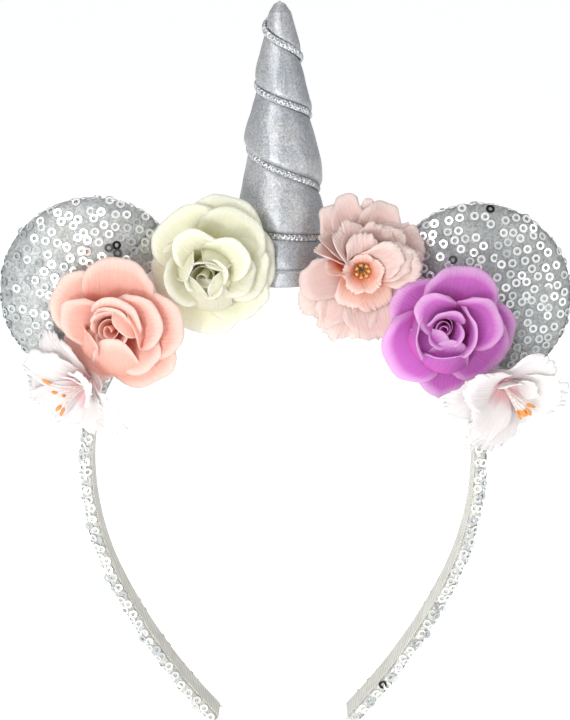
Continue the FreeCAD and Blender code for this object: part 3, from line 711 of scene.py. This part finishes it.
def make_ear_padding(side, label, face, paint):
    """The foam under one face, rounded at its rim and flat against the stiffener board."""
    surface, _ = ear_dome(side, face, inset=0.9, rows=14, columns=72)
    board = surface.copy()
    board[..., 1] = BOARD_FACE * face
    surface = np.where(np.abs(surface[..., 1:2]) < BOARD_FACE, board, surface)
    both = np.concatenate([surface, board[::-1]])
    if face > 0:
        both = both[:, ::-1]
    pile = Pile().add(both, quads(numbered(both)))
    piece = pile.build(f"{side}_ear_{label}_foam", paint, "foam_padding", f"{side}_ear_{label}_padding")


def ear_spot(side, face, x, z):
    """The point and outward direction on an ear's face at a place across and up from its centre."""
    centre, across, up = ear_frame(side)
    angle, far = atan2(z, x), hypot(x, z)
    reach = ear_outline(angle)
    share = min(far / reach, 1.0)
    swell = float(ear_height(np.array(share)))
    slope = 1.2 * EAR_DEPTH * share**1.4 / max(swell, 0.25) / reach
    normal = face * BACK + slope * (cos(angle) * across + sin(angle) * up)
    place = centre + x * across + z * up + face * EAR_DEPTH * swell * BACK
    return place, unit(normal)


RING_STEP = 4.1
RING_ROW_STEP = 3.4
RIM_STEP = 3.3
RIM_MARGIN = 0.3
RING_MISSING = 0.06  # the share of rings that have come off
# where the odd black rings sit on an ear's front, across and up from its centre
BLACK_RINGS = {"left": ((15.4, 6.8), (17.8, 5.5), (16.1, 3.5)), "right": ((-16.2, 2.6), (-20.3, 23.0))}
BLACK_RING_ROOM = 2.2  # no other ring's centre is as near to a black ring's as this
# painted highlight: the ear rings are tinted whiter between these heights, where they catch the light
GLINT_HEIGHTS = {"left": (0.2, 0.8), "right": (-0.9, 1.1)}  # heights between which rings get whiter


def ear_tint_and_glint(side, place, dice):
    """Ring tints in loose patches, with a painted highlight: whiter towards an ear's top and smokier
    lower down.
    """
    height = (place[2] - ear_frame(side)[0][2]) / EAR_RADIUS
    patch = noise.noise(Vector(place) / 14)
    bright = smooth_step(height + 0.45 * patch + dice.uniform(-0.25, 0.25), *GLINT_HEIGHTS[side])
    return float(np.clip(0.1 + 0.86 * bright + dice.uniform(-0.05, 0.15), 0.03, 1.0))


def make_ear_sequins(side, paint):
    """Rings in loose staggered rows over both faces of an ear, and one row along its rim."""
    dice = random.Random(23 if side == "left" else 37)
    centre, across, up = ear_frame(side)
    pile = Pile()

    def lay(place, normal, tint):
        lift = 0.35 + dice.uniform(0, 0.25)
        lay_sequin(pile, place + normal * lift, normal, radians(abs(dice.gauss(0, 7))), tint, dice)

    count = int(EAR_RADIUS / RING_ROW_STEP) + 1
    rows = range(-count, count + 1)
    for face, row, column in itertools.product(FACES.values(), rows, rows):
        x = (column + row % 2 / 2) * RING_STEP + dice.gauss(0, 0.5)
        z = row * RING_ROW_STEP + dice.gauss(0, 0.45)
        near_black = min(hypot(x - a, z - b) for a, b in BLACK_RINGS[side]) < BLACK_RING_ROOM
        outside = hypot(x, z) > ear_outline(atan2(z, x)) - RIM_MARGIN
        if outside or near_black or dice.random() < RING_MISSING:
            continue
        place, normal = ear_spot(side, face, x, z)
        lay(place, normal, ear_tint_and_glint(side, place, dice))
    for x, z in BLACK_RINGS[side]:
        lay(*ear_spot(side, FACES["front"], x, z), 0.0)
    for angle in np.arange(-0.6, pi + 0.6, RIM_STEP / EAR_RADIUS):
        outward = cos(angle) * across + sin(angle) * up
        place = centre + outward * (ear_outline(angle) - RIM_MARGIN) + dice.uniform(-1, 1) * BACK
        lay(place, outward, ear_tint_and_glint(side, place, dice))
    pile.build(f"{side}_ear_ring_sequins", paint, "sequin_film", f"{side}_ear_sequins", smooth=False)


# ---- the horn

# the horn's half width at heights over the middle of the head
HORN_WIDTHS = ((64.0, 13.2), (70.0, 13.9), (76.0, 13.6), (84.0, 13.3), (90.0, 13.1), (96.0, 12.6),
               (101.0, 12.2), (106.0, 11.8), (113.0, 11.1), (119.0, 10.1), (126.0, 8.7), (134.0, 7.7),
               (142.0, 6.4), (150.4, 4.8), (154.5, 3.8), (157.0, 2.4), (158.2, 0.0))
# the cord's height at turns about the horn, in degrees
CORD_HEIGHTS = (154.3, 150.0, 139.8, 131.0, 120.8, 110.2, 95.8, 83.6, 79.6, 78.0)
CORD_TURNS = (90.0,) + tuple(180.0 * n for n in range(1, 9)) + (1530.0,)
CORD_RADIUS = 0.8
STRAND_RADIUS = 0.5
BRAID_PITCH = 3.4
HORN_TOP = 158.2
TIP_FOOT = 150.4  # above this the rows of points close up
HORN_REFERENCE = 13.3  # the half width at which the depths of the horn's relief hold in full
PUFF_DEPTH = 2.3
GROOVE_DEPTH = 1.2
CREASE_DEPTH = 0.5
COVER_INSET = 0.75


def horn_place(points):
    """Leans points given about the horn's own axis and stands them on the band."""
    lean = radians(HORN_LEAN)
    x = points[..., 0] * cos(lean) + (points[..., 2] - HORN_FOOT) * sin(lean)
    z = -points[..., 0] * sin(lean) + (points[..., 2] - HORN_FOOT) * cos(lean)
    return np.stack([x, points[..., 1], z + HORN_FOOT], -1)


def horn_width(height):
    heights, widths = np.array(HORN_WIDTHS).T
    return np.interp(height, heights, widths)


def cord_height(turn):
    """The cord's height at a turn in degrees, smooth from one half turn to the next."""
    fine = np.linspace(CORD_TURNS[0], CORD_TURNS[-1], 400)
    heights = np.interp(fine, CORD_TURNS, CORD_HEIGHTS)
    window = np.hanning(25)
    padded = np.pad(heights, 12, mode="edge")
    smooth = np.convolve(padded, window / window.sum(), mode="valid")
    return np.interp(turn, fine, smooth)


def horn_relief(height, turn):
    """The puff between two turns of the cord, the groove that the cord lies in and the sharp
    crease over the cord, each from 0 to 1."""
    groove, crease, puff = (np.zeros_like(height) for _ in range(3))
    upper = np.full_like(height, HORN_TOP + 1.8)
    foot = np.full_like(height, HORN_FOOT - 0.4)
    for wind in range(6):
        whole = turn + 360.0 * wind
        inside = (whole >= CORD_TURNS[0]) & (whole <= CORD_TURNS[-1])
        crossing = cord_height(np.clip(whole, CORD_TURNS[0], CORD_TURNS[-1]))
        gap = np.where(inside, height - crossing, 99.0)
        groove = np.maximum(groove, np.exp(-((gap / 1.4) ** 2)))
        crease = np.maximum(crease, np.exp(-(((gap - 1.15) / 0.5) ** 2)))
        lower = np.where(inside, crossing, foot if wind else upper)
        span = np.maximum(upper - lower, 1e-3)
        share = np.clip((height - lower) / span, 0, 1)
        swell = np.sin(pi * share**0.5) * np.clip(span / 18.0, 0.2, 1.0)
        puff = np.where((height < upper) & (height > lower), swell, puff)
        upper = lower
    return puff, groove, crease


def round_points(radius, angle, height):
    return np.stack([radius * np.cos(angle), radius * np.sin(angle), height], -1)


def horn_surface(inset=0.0, foot=64.4, rows=260, columns=150):
    """The horn's cover, or a smaller copy of it, as a grid from its foot to its tip."""
    tip = np.linspace(TIP_FOOT, HORN_TOP, 26)
    heights = np.concatenate([np.linspace(foot, TIP_FOOT - 0.4, rows), tip])
    height, turn = np.meshgrid(heights, np.linspace(0, 360, columns + 1), indexing="ij")
    puff, groove, crease = horn_relief(height, turn)
    width = horn_width(height)
    relief = PUFF_DEPTH * puff - GROOVE_DEPTH * groove - CREASE_DEPTH * crease
    radius = width - inset + width / HORN_REFERENCE * relief - COVER_INSET
    return round_points(np.maximum(radius, 0.02), np.radians(turn), height), heights, crease


def make_horn_cover(paint):
    """The stuffed horn: puffs, pulled creases beside the cord, a seam and a turned-in hem."""
    points, heights, crease = horn_surface()
    radial = points * (1, 1, 0)
    radial /= np.linalg.norm(radial, axis=2, keepdims=True) + 1e-9
    creases = wobble(points * (1, 1, 0.45), 2.6, 7.0) * 0.16 + wobble(points, 9.0, 2.0) * 0.3
    stitched = np.exp(-(((heights - HORN_FOOT - 0.6) / 0.45) ** 2))[:, None]
    fade = np.clip((HORN_TOP - heights) / 4, 0, 1)[:, None] * (1 - stitched)
    points = points + radial * (creases * fade - 0.3 * stitched)[..., None]
    points[:, -1] = points[:, 0]
    seat = EAR_SEAT + 0.2
    sunk = np.hypot(points[..., 0], points[..., 2]) < seat
    hidden = sunk & (np.abs(points[..., 1]) < BAND_WIDTH / 2 + 0.6)
    lift = np.sqrt(np.maximum(seat**2 - points[..., 0] ** 2, 0))
    points[..., 2] = np.where(hidden, lift, points[..., 2])
    # the crease value carries the painted shade over the cord, and the darkening along the hem's seam,
    # to the cloth's colour
    pile = Pile().sheet(horn_place(points)[:, ::-1], HORN_COVER_THICKNESS,
                        crease=np.maximum(crease, stitched)[:, ::-1])
    piece = pile.build("horn_skin", paint, "silver_lame", "horn_cover")


def make_horn_stuffing(paint):
    """The fibre inside the horn's cover, closed at its foot."""
    points, _, _ = horn_surface(inset=1.2, foot=71.6, rows=60, columns=72)
    points[0] = points[0] * (0.02, 0.02, 1)
    points = points + (wobble(points, 3.0)[..., None] * 0.12) * (1, 1, 0)
    pile = Pile().add(horn_place(points)[:, ::-1], quads(numbered(points)))
    piece = pile.build("horn_fibre", paint, "polyester_fill", "horn_stuffing")


def make_horn_cord(paint):
    """Four strands of metallic thread braided and wound down the horn, with their ends tucked in."""
    turn = np.linspace(CORD_TURNS[0], CORD_TURNS[-1], 1500)
    height = cord_height(turn)
    width = horn_width(height)
    radius = width - 0.1 - GROOVE_DEPTH * width / HORN_REFERENCE + CORD_RADIUS
    tuck = smooth_step(np.minimum(turn - turn[0], turn[-1] - turn), 0, 25)
    radius = radius - (1 - tuck) * 2.0
    angle = np.radians(turn)
    line = horn_place(round_points(radius, angle, height))
    along = unit(np.gradient(line, axis=0))
    out = round_points(1.0, angle, np.zeros_like(angle))
    side = np.cross(along, out)
    length = length_along(line)
    pile = Pile()
    for strand in range(4):
        way = 1 if strand % 2 else -1
        phase = way * length * 2 * pi / BRAID_PITCH + strand * pi / 2
        sway = out * (np.cos(phase) * 0.36)[:, None] + side * (np.sin(phase) * 0.68)[:, None]
        pile.tube(line + sway, STRAND_RADIUS, 7)
    pile.build("horn_braid", paint, "metallic_cord", "horn_cord")


# ---- petals


class Flower:
    """A flower's own frame: where its foot stands, the way that it faces, and its up and right."""

    def __init__(self, name, axis):
        low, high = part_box(f"{name}_hub")
        self.name = name
        self.axis = unit(np.array(axis))
        self.foot = np.array((low + high) / 2) / MM
        self.right = unit(np.cross((0.0, 0.0, 1.0), self.axis))
        self.up = np.cross(self.axis, self.right)

    def place(self, points):
        """Points given as right, up and outward of the flower, in the row frame."""
        return (self.foot + points[..., 0:1] * self.right + points[..., 1:2] * self.up
                + points[..., 2:3] * self.axis)


def running_sum(slopes, steps):
    """Where a line that follows slopes gets to: how far out and how high, from nought."""
    middle = (slopes[1:] + slopes[:-1]) / 2
    start = np.zeros_like(slopes[:1])
    out = np.concatenate([start, np.cumsum(np.cos(middle) * steps, axis=0)])
    high = np.concatenate([start, np.cumsum(np.sin(middle) * steps, axis=0)])
    return out, high


PETAL_ROWS = 26
PETAL_COLUMNS = 21
FRAYED_COLUMNS = 61
WIDENS_OVER = 0.55  # the share of a petal's run over which it gets wider


def petal(angle, reach, width, level, rise, wrap=25, curl=38, at=(0, 0), start=1.2, ruffle=0.5,
          tip=0.4, narrow=0.4, lean=0, point=0.0, length=None, fray=0.0, seed=0.0):
    """One petal in its flower's frame.

    It runs out at an angle to its widest reach, from its start or over its length. rise is its
    slope over the flower's plane in degrees at its foot, middle and tip; past 90 it folds over
    the heart. wrap bends its sides up, curl rolls its rim back, ruffle waves it, tip rounds and
    point sharpens its end, narrow is its foot's share of its width, fray roughens its end, lean
    turns it over sideways, and at moves the point it grows from.
    """
    s = np.linspace(0, 1, PETAL_ROWS)[:, None]
    t = np.linspace(-1, 1, FRAYED_COLUMNS if fray else PETAL_COLUMNS)[None, :]
    share = 1 - tip * np.abs(t) ** 2.8 + point * (1 - np.abs(t)) ** 3
    if fray:
        teeth = wobble(np.stack([26 * t, 0 * t, seed + 0 * t], -1), 3.1)
        share = share * (1 + 0.06 * fray * (teeth + 0.4 * np.sign(teeth)))
    run = s * share
    curled = np.radians(curl) * smooth_step(s, 0.8, 1.0)
    slopes = np.interp(run, (0, 0.5, 1), np.radians(rise)) - curled
    out, high = running_sum(slopes, np.diff(run, axis=0))
    middle_line = running_sum(np.interp(s, (0, 0.5, 1), np.radians(rise)) - curled, np.diff(s, axis=0))
    widest = middle_line[0].max()
    if length is None:
        length = (reach - start) / widest
    start = reach - length * widest
    half = np.linspace(0, 1, 31)[:, None]
    tilt = np.radians(wrap) * half - np.radians(curl) * smooth_step(half, 0.72, 1.0)
    across, depth = running_sum(tilt, np.diff(half, axis=0))
    spread = width / 2 * (narrow + (1 - narrow) * np.sin(pi / 2 * np.clip(run / WIDENS_OVER, 0, 1)))
    x = spread * np.sign(t) * np.interp(np.abs(t), half[:, 0], across[:, 0])
    lift = spread * np.interp(np.abs(t), half[:, 0], depth[:, 0])
    lift = lift * np.sin(pi / 2 * np.clip(1.5 * s, 0, 1))
    rim = np.maximum(smooth_step(s, 0.7, 1.0) + 0 * t, smooth_step(np.abs(t), 0.6, 1.0) * s)
    flat = np.stack([x + 7.1 * seed, length * run, seed + 0 * x], -1)
    lift = lift + ruffle * (wobble(flat, 7.0) * (0.5 + rim) + 0.5 * wobble(flat, 3.2, 5.0) * rim)
    x = x + ruffle * wobble(flat, 4.0, 9.0) * rim
    over = radians(lean)
    x, lift = x * cos(over) - lift * sin(over), x * sin(over) + lift * cos(over)
    radial = start + length * out - np.sin(slopes) * lift
    height = level + length * high + np.cos(slopes) * lift
    turn = radians(angle)
    points = np.stack([at[0] + radial * cos(turn) - x * sin(turn),
                       at[1] + radial * sin(turn) + x * cos(turn), height], -1)
    return points, {"along": run + 0 * x, "rim": rim + 0 * x, "warp": x, "weft": length * run}


def make_petals(flower, ring, petals, paint, slot):
    """One ring of a flower's petals as a single piece."""
    dice = random.Random(f"{flower.name}{ring}")
    pile = Pile()
    for number, settings in enumerate(petals):
        points, values = petal(**settings, seed=number + dice.uniform(0, 50))
        pile.sheet(flower.place(points), PETAL_THICKNESS, **values,
                   tint=np.full(values["along"].shape, dice.random()))
    pile.build(f"{flower.name}_{ring}_cloth", paint, slot, f"{flower.name}_{ring}")


def bloom(*petals, **shared):
    """Petals given as angle, reach, width, level, rise and, where one has any, what is its own."""
    names = ("angle", "reach", "width", "level", "rise")
    return [shared | dict(zip(names, row)) | dict(*row[5:]) for row in petals]


def closing(length, curl):
    """The rise and shape of a petal that closes over the heart."""
    return (20, 150, 185), dict(wrap=48, narrow=0.15, length=length, curl=curl, tip=0.8)


# the way that each flower faces, and its colour
FLOWERS = {
    "coral_rose": ((-0.22, -1.0, -0.08), "coral"),
    "ivory_rose": ((-0.05, -1.0, -0.12), "ivory"),
    "violet_rose": ((0.20, -1.0, -0.08), "violet"),
    "peach_blossom": ((0.05, -1.0, -0.10), "peach"),
    "left_white_blossom": ((-0.60, -0.78, -0.20), "white"),
    "right_white_blossom": ((0.30, -0.88, -0.38), "white"),
}

# each flower's rings of petals, from the outside in
RINGS = {}

RINGS["coral_rose", "outer_petals"] = bloom(
    (84, 24.5, 26, 2.6, (38, 24, 5)),
    (148, 25, 25, 1.8, (32, 20, 5)),
    (8, 23.5, 24, 2.8, (38, 24, 8)),
    (303, 23, 25, 1.2, (25, 12, -8)),
    (222, 23.5, 23, 1, (25, 12, -8)),
)

RINGS["coral_rose", "middle_petals"] = bloom(
    (163, 19, 19, 3.8, (48, 34, 10), dict(wrap=38, lean=-14)),
    (25, 18, 21, 4.4, (54, 40, 12), dict(wrap=42)),
    (218, 16, 18, 2.6, *closing(21, 10)),
    (268, 17, 22, 2.6, *closing(26, 10)),
    (316, 17.5, 19, 2.6, (42, 36, 15), dict(wrap=36)),
    (66, 13, 20, 5.5, (75, 62, 25), dict(wrap=55, length=17)),
)

RINGS["coral_rose", "inner_petals"] = bloom(
    (84, 9.5, 16, 5.5, (85, 75, 45), dict(wrap=60, length=15)),
    (14, 11, 17, 4.6, (70, 100, 110), dict(wrap=60, length=16)),
    (38, 10.5, 18, 5, (70, 110, 150), dict(wrap=45, length=18, tip=0.7)),
    (118, 8, 12, 6, (85, 90, 85), dict(wrap=60, point=0.3, length=13)),
    (205, 11, 14, 3.6, (60, 110, 150), dict(wrap=40, length=17, tip=0.8)),
    *[(turn, 6.5, 10, 5, (72, 84, 70), dict(wrap=60, at=(-1, 0.5), length=11.5))
      for turn in (150, 245, 340)],
)

RINGS["ivory_rose", "outer_petals"] = bloom(
    (132, 21.5, 27, 2, (32, 16, 0)),
    (72, 23, 26, 1.2, (25, 12, -5)),
    (56, 21, 24, 2.6, (34, 20, 0)),
    (4, 20.5, 27, 1.4, (30, 14, -5)),
    (352, 18.5, 23, 2.8, (38, 20, 0)),
    (197, 20.5, 22, 2.2, (32, 18, 0)),
    (258, 26, 26, 1, (22, 10, -5)),
    (308, 22.5, 23, 1.6, (26, 14, -5)),
)

RINGS["ivory_rose", "middle_petals"] = bloom(
    (122, 16.5, 17, 4, (56, 52, 25), dict(wrap=52)),
    (40, 14.5, 18, 4.5, (62, 54, 20), dict(wrap=55)),
    (347, 14.5, 18, 3.6, (50, 40, 10), dict(wrap=45)),
    (262, 16.5, 22, 2.4, *closing(23, 12)),
    (206, 15.5, 19, 3, (40, 60, 70), dict(wrap=38, length=18)),
)

RINGS["ivory_rose", "inner_petals"] = bloom(
    (100, 7, 13, 5.6, (80, 88, 85), dict(wrap=70, at=(-1.5, -2.5), length=14, point=0.15)),
    (338, 8.5, 14, 4, (60, 122, 150), dict(wrap=45, at=(-1.5, -3), length=18, tip=0.6)),
    (215, 8.5, 15, 4, (60, 122, 150), dict(wrap=45, at=(-1.5, -3), length=17, tip=0.6)),
    (44, 7.5, 12, 6, (80, 82, 60), dict(wrap=65, length=13)),
    (152, 10.5, 15, 4.6, (60, 110, 140), dict(wrap=45, length=17, tip=0.7)),
    (65, 9, 14, 4.6, (60, 110, 150), dict(wrap=45, length=16, tip=0.7)),
    *[(turn, 7, 10, 5, (70, 84, 75), dict(wrap=60, at=(-1.8, -2.8), length=12.5))
      for turn in (130, 190, 300, 20)],
    at=(-1, -2),
)

RINGS["violet_rose", "outer_petals"] = bloom(
    (82, 21.5, 26, 2.8, (40, 26, 5)),
    (150, 22.5, 21, 1.2, (25, 15, -5)),
    (347, 23, 22, 1.4, (28, 14, -5)),
    (318, 21, 24, 2.6, (36, 22, 5)),
    (264, 24, 22, 1.2, (25, 12, -5), dict(point=0.12)),
    (208, 25, 26, 1.8, (28, 16, 0)),
)

RINGS["violet_rose", "middle_petals"] = bloom(
    (24, 15, 21, 4, (55, 46, 18), dict(wrap=55)),
    (140, 18.5, 15, 4.4, (52, 40, 12), dict(wrap=45)),
    (212, 16, 20, 2.6, *closing(21, 12)),
    (256, 16.5, 22, 2.4, *closing(23, 12)),
)

RINGS["violet_rose", "inner_petals"] = bloom(
    (180, 11.5, 19, 3.6, (60, 85, 90), dict(wrap=58, length=15)),
    (2, 9.5, 20, 3.8, (70, 92, 100), dict(wrap=62, length=15)),
    (95, 8.5, 15, 4.6, (75, 72, 50), dict(wrap=55, length=14)),
    (268, 10.5, 16, 3.6, (45, 105, 135), dict(wrap=55, length=17)),
    *[(turn, 6.5, 10, 4.6, (72, 84, 70), dict(wrap=60, at=(-4.2, 0.2), length=11))
      for turn in (120, 230, 330)],
    at=(-4, -0.5),
)

RINGS["peach_blossom", "outer_petals"] = bloom(
    (121, 24, 12, 0.8, (20, 10, -5)),
    (105, 26, 13, 1.4, (20, 10, -5)),
    (84, 23.5, 8, 0.8, (20, 10, -5)),
    (69, 24, 16, 1.4, (20, 10, -5)),
    (30, 22, 20, 1.2, (22, 12, -5), dict(ruffle=1.5, fray=0.4)),
    (222, 24, 21, 1.8, (24, 12, -5), dict(ruffle=1.6, fray=0.4)),
    (253, 25.5, 22, 1.4, (20, 10, -5), dict(ruffle=1.6, fray=0.4)),
    (285, 25.5, 20, 2, (24, 12, -5), dict(ruffle=1.6, fray=0.4)),
    (192, 21.5, 16, 2.4, (30, 22, 5)),
    ruffle=1.2,
)

RINGS["peach_blossom", "middle_petals"] = bloom(
    (138, 19.5, 11, 3, (45, 38, 20), dict(wrap=45, lean=60, start=6)),
    (150, 18.5, 11, 3.2, (52, 46, 25), dict(wrap=45, lean=66, start=7)),
    (124, 18, 12, 3.4, (54, 50, 30), dict(wrap=45, lean=48, start=5)),
    (92, 14.5, 13, 3.4, (56, 46, 12), dict(wrap=45, ruffle=1.2)),
    (70, 17, 15, 2.6, (40, 30, 5), dict(ruffle=1.4)),
    (108, 19, 12, 2.6, (42, 34, 10), dict(ruffle=1.4, lean=25)),
    (50, 19, 13, 2.4, (36, 28, 5), dict(ruffle=1.5, fray=0.5, lean=-15)),
    (0, 20.5, 20, 2, (30, 20, 0), dict(ruffle=1.5)),
    (14, 19, 15, 3.2, (46, 34, 8), dict(ruffle=1.4)),
    (28, 17, 15, 3.4, (52, 40, 10), dict(wrap=40, ruffle=1.3)),
    (40, 15, 14, 3.8, (60, 50, 15), dict(wrap=48, length=18, ruffle=1.2)),
    fray=0.4,
)

RINGS["peach_blossom", "inner_petals"] = bloom(
    (168, 13, 9, 4.6, (66, 66, 55), dict(wrap=45, lean=55, start=6.5, length=12)),
    (293, 14.5, 14, 3.4, (35, 25, 0), dict(ruffle=1.2)),
    (245, 13, 12, 3.4, (38, 28, 5), dict(ruffle=1.2)),
    *[(turn, 7, 9, 4.8, (48, 66, 30), dict(wrap=34, curl=24, ruffle=0.9, fray=0.6))
      for turn in range(20, 380, 72)],
    fray=0.4,
)

RINGS["left_white_blossom", "petals"] = bloom(
    (118, 22, 15, 1.6, (30, 18, 0)),
    (136, 20, 13, 2.4, (42, 34, 10), dict(wrap=50, lean=30, fray=0.8)),
    (172, 20.5, 16, 2, (38, 28, 5), dict(fray=1.2, ruffle=1.6)),
    (196, 17, 13, 3, (48, 38, 10), dict(ruffle=1.4, lean=-25)),
    (212, 19, 17, 1.8, (30, 18, -10), dict(fray=1.2, ruffle=1.6)),
    (262, 16.5, 20, 1.6, (26, 14, -10), dict(fray=1.2, ruffle=1.4)),
    (320, 14, 14, 2.6, (40, 30, 5), dict(ruffle=1.4)),
    (340, 21.5, 16, 1.8, (34, 26, 10), dict(wrap=45, point=0.15, fray=0.9)),
    (30, 17.5, 14, 3, (50, 44, 20), dict(wrap=50, fray=0.8, ruffle=1.3)),
    (80, 6.5, 9, 3.6, (55, 72, 60), dict(wrap=45, length=8.5, fray=0.8, ruffle=0.9)),
    fray=1, ruffle=1.2,
)

RINGS["right_white_blossom", "petals"] = bloom(
    (152, 21.5, 18, 2.4, (42, 34, 10), dict(wrap=45, fray=0.5)),
    (190, 22.5, 18, 1.6, (28, 16, -8), dict(ruffle=1.3)),
    (232, 18, 14, 2.8, (42, 32, 5), dict(fray=1, ruffle=1.3, lean=25)),
    (256, 24, 19, 2, (30, 16, -8), dict(ruffle=1.3)),
    (312, 17, 15, 1.6, (28, 18, 0), dict(ruffle=1.3)),
    (58, 18.5, 18, 1.8, (38, 30, 10), dict(wrap=35, fray=0.5)),
    (2, 19, 19, 2.2, (40, 32, 10), dict(wrap=45, fray=1.3, ruffle=1.2)),
    (100, 6.5, 9, 3.6, (55, 72, 60), dict(wrap=45, length=8.5, fray=0.8)),
    (30, 9, 10, 3.6, (50, 60, 45), dict(wrap=45, length=10, fray=0.8)),
    fray=1.2, ruffle=0.9,
)

# where a rose's heart leans to, and how wide and tall its bud is
HEARTS = {
    "coral_rose": ((-1.0, 0.6), 1.6, 1.45),
    "ivory_rose": ((-2.4, -2.8), 1.8, 1.5),
    "violet_rose": ((-4.6, 0.8), 1.1, 1.2),
}
BUD_TURNS = 2.2
BUD_FOOT = 4.2


def make_bud(flower, paint, slot):
    """The furled heart of a rose: one narrow petal rolled into a slack open cone."""
    turn = np.linspace(0, BUD_TURNS * 2 * pi, 90)[None, :]
    up = np.linspace(0, 1, 18)[:, None]
    unrolled = turn / turn.max()
    (x, y), wide, tall = HEARTS[flower.name]
    radius = wide * (0.5 + 1.9 * unrolled) * (0.6 + 0.8 * up**1.6)
    height = BUD_FOOT + 8.4 * tall * up * (1 - 0.25 * unrolled) + 0.7 * np.sin(turn * 1.3 + 1) * up
    points = np.stack([x * up + radius * np.cos(turn), y * up + radius * np.sin(turn), height], -1)
    ones = np.ones_like(height)
    pile = Pile().sheet(flower.place(points), PETAL_THICKNESS, along=0.15 + 0.4 * up**2 * ones,
                        rim=smooth_step(up, 0.75, 1.0) * 0.9 * ones, warp=radius * turn,
                        weft=height, tint=0.5 * ones)
    pile.build(f"{flower.name}_heart", paint, slot, f"{flower.name}_bud")


STAMEN_FOOT = (1.0, 4.0)  # how far out and how high a stamen starts
# the radius at shares of a stamen's length, against the filament's: the anther is its thick end
STAMEN_SWELL = ((0, 0.68, 0.74, 0.86, 0.97, 1), (1, 1, 2.4, 2.7, 2.0, 0.8))


def make_stamens(flower, paint, slot, thick):
    """Filaments that arch outwards, each with an oval anther at its end."""
    pile = Pile()
    share = np.linspace(0, 1, 24)
    radius = np.interp(share, *STAMEN_SWELL) * thick
    painted = np.concatenate([np.repeat(share, 8), [0.0, 1.0]])
    near, low = STAMEN_FOOT
    for angle, reach, height in STAMENS[flower.name]:
        out = near + (reach - near) * share**1.5
        rise = low + (height - low) * np.sin(share * pi / 2)
        pile.tube(flower.place(round_points(out, radians(angle), rise)), radius, 8, along=painted)
    pile.build(f"{flower.name}_stamen_bunch", paint, slot, f"{flower.name}_stamens")


# each stamen's angle, reach and height
STAMENS = {
    "peach_blossom": [(a, 2.6, 8.0) for a in range(0, 360, 52)],
    "left_white_blossom": [(154, 12, 13), (150, 4.5, 15), (40, 3.5, 16), (250, 4, 16), (243, 8.5, 13),
                           (235, 6, 15)],
    "right_white_blossom": [(322, 9, 13), (330, 7, 14.5), (308, 8.5, 12), (300, 11, 10), (340, 9, 12),
                            (316, 6, 15)],
}


# ---- putting it together


def repaint(node, material):
    """Gives a CAD node that keeps its shape its own material."""
    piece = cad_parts[node]
    piece.data.materials.clear()
    piece.data.materials.append(material)


make_ribbon(grosgrain_paint())
make_wrap(mesh_ground_paint("band_net", (1.2, 1.18, 1.08)))
sequin_film = sequin_paint()
make_band_sequins(sequin_film)
foam = fibre_paint("foam_padding", (0.62, 0.60, 0.55), (0.86, 0.85, 0.80), 900, 0.4)
# one net for both ears: the right ear's darker copy is painted shade
for ear, dye_and_shade in (("left", (0.79, 0.81, 0.80)), ("right", (0.68, 0.70, 0.69))):
    net = mesh_ground_paint(f"{ear}_ear_net", dye_and_shade)
    for label, face in FACES.items():
        make_ear_cover(ear, label, face, net)
        make_ear_padding(ear, label, face, foam)
    make_ear_sequins(ear, sequin_film)
make_horn_cover(lame_paint())
make_horn_stuffing(fibre_paint("polyester_fill", (0.8, 0.8, 0.8), (0.95, 0.95, 0.95), 500, 0.6))
make_horn_cord(cord_paint())
petal_paints = {cloth: petal_paint(cloth) for cloth in PETAL_CLOTHS}
stamen_yellow = stamen_paint("stamen_yellow", (0.85, 0.62, 0.3), (0.66, 0.40, 0.10))
stamen_orange = stamen_paint("stamen_orange", (0.93, 0.88, 0.84), (0.80, 0.29, 0.04))
for name, (axis, colour) in FLOWERS.items():
    flower = Flower(name, axis)
    cloth, slot = petal_paints[colour], f"petal_{colour}"
    for (owner, ring), petals in RINGS.items():
        if owner == name:
            heart = (name, ring) == ("peach_blossom", "inner_petals")
            make_petals(flower, ring, petals, petal_paints["peach_heart"] if heart else cloth, slot)
    if name in HEARTS:
        make_bud(flower, cloth, slot)
    elif colour == "peach":
        make_stamens(flower, stamen_yellow, "stamen_yellow", 0.28)
    else:
        make_stamens(flower, stamen_orange, "stamen_orange", 0.24)

hub_plastic = plastic_paint("flower_plastic", (0.55, 0.68, 0.42), 0.42)
throat_plastic = plastic_paint("throat_plastic", (0.92, 0.78, 0.77), 0.5)
band_plastic = plastic_paint("band_plastic", (0.75, 0.75, 0.73), 0.4)
board = fibre_paint("stiffener_board", (0.55, 0.48, 0.38), (0.72, 0.66, 0.55), 1400, 0.15)
felt = felt_paint()
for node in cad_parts:
    if node.endswith("_hub"):
        repaint(node, throat_plastic if "white" in node else hub_plastic)
    elif node.endswith("stiffener") or node == "horn_base_disc":
        repaint(node, board)
    elif node.endswith("felt_patch"):
        repaint(node, felt)
repaint("band_core", band_plastic)
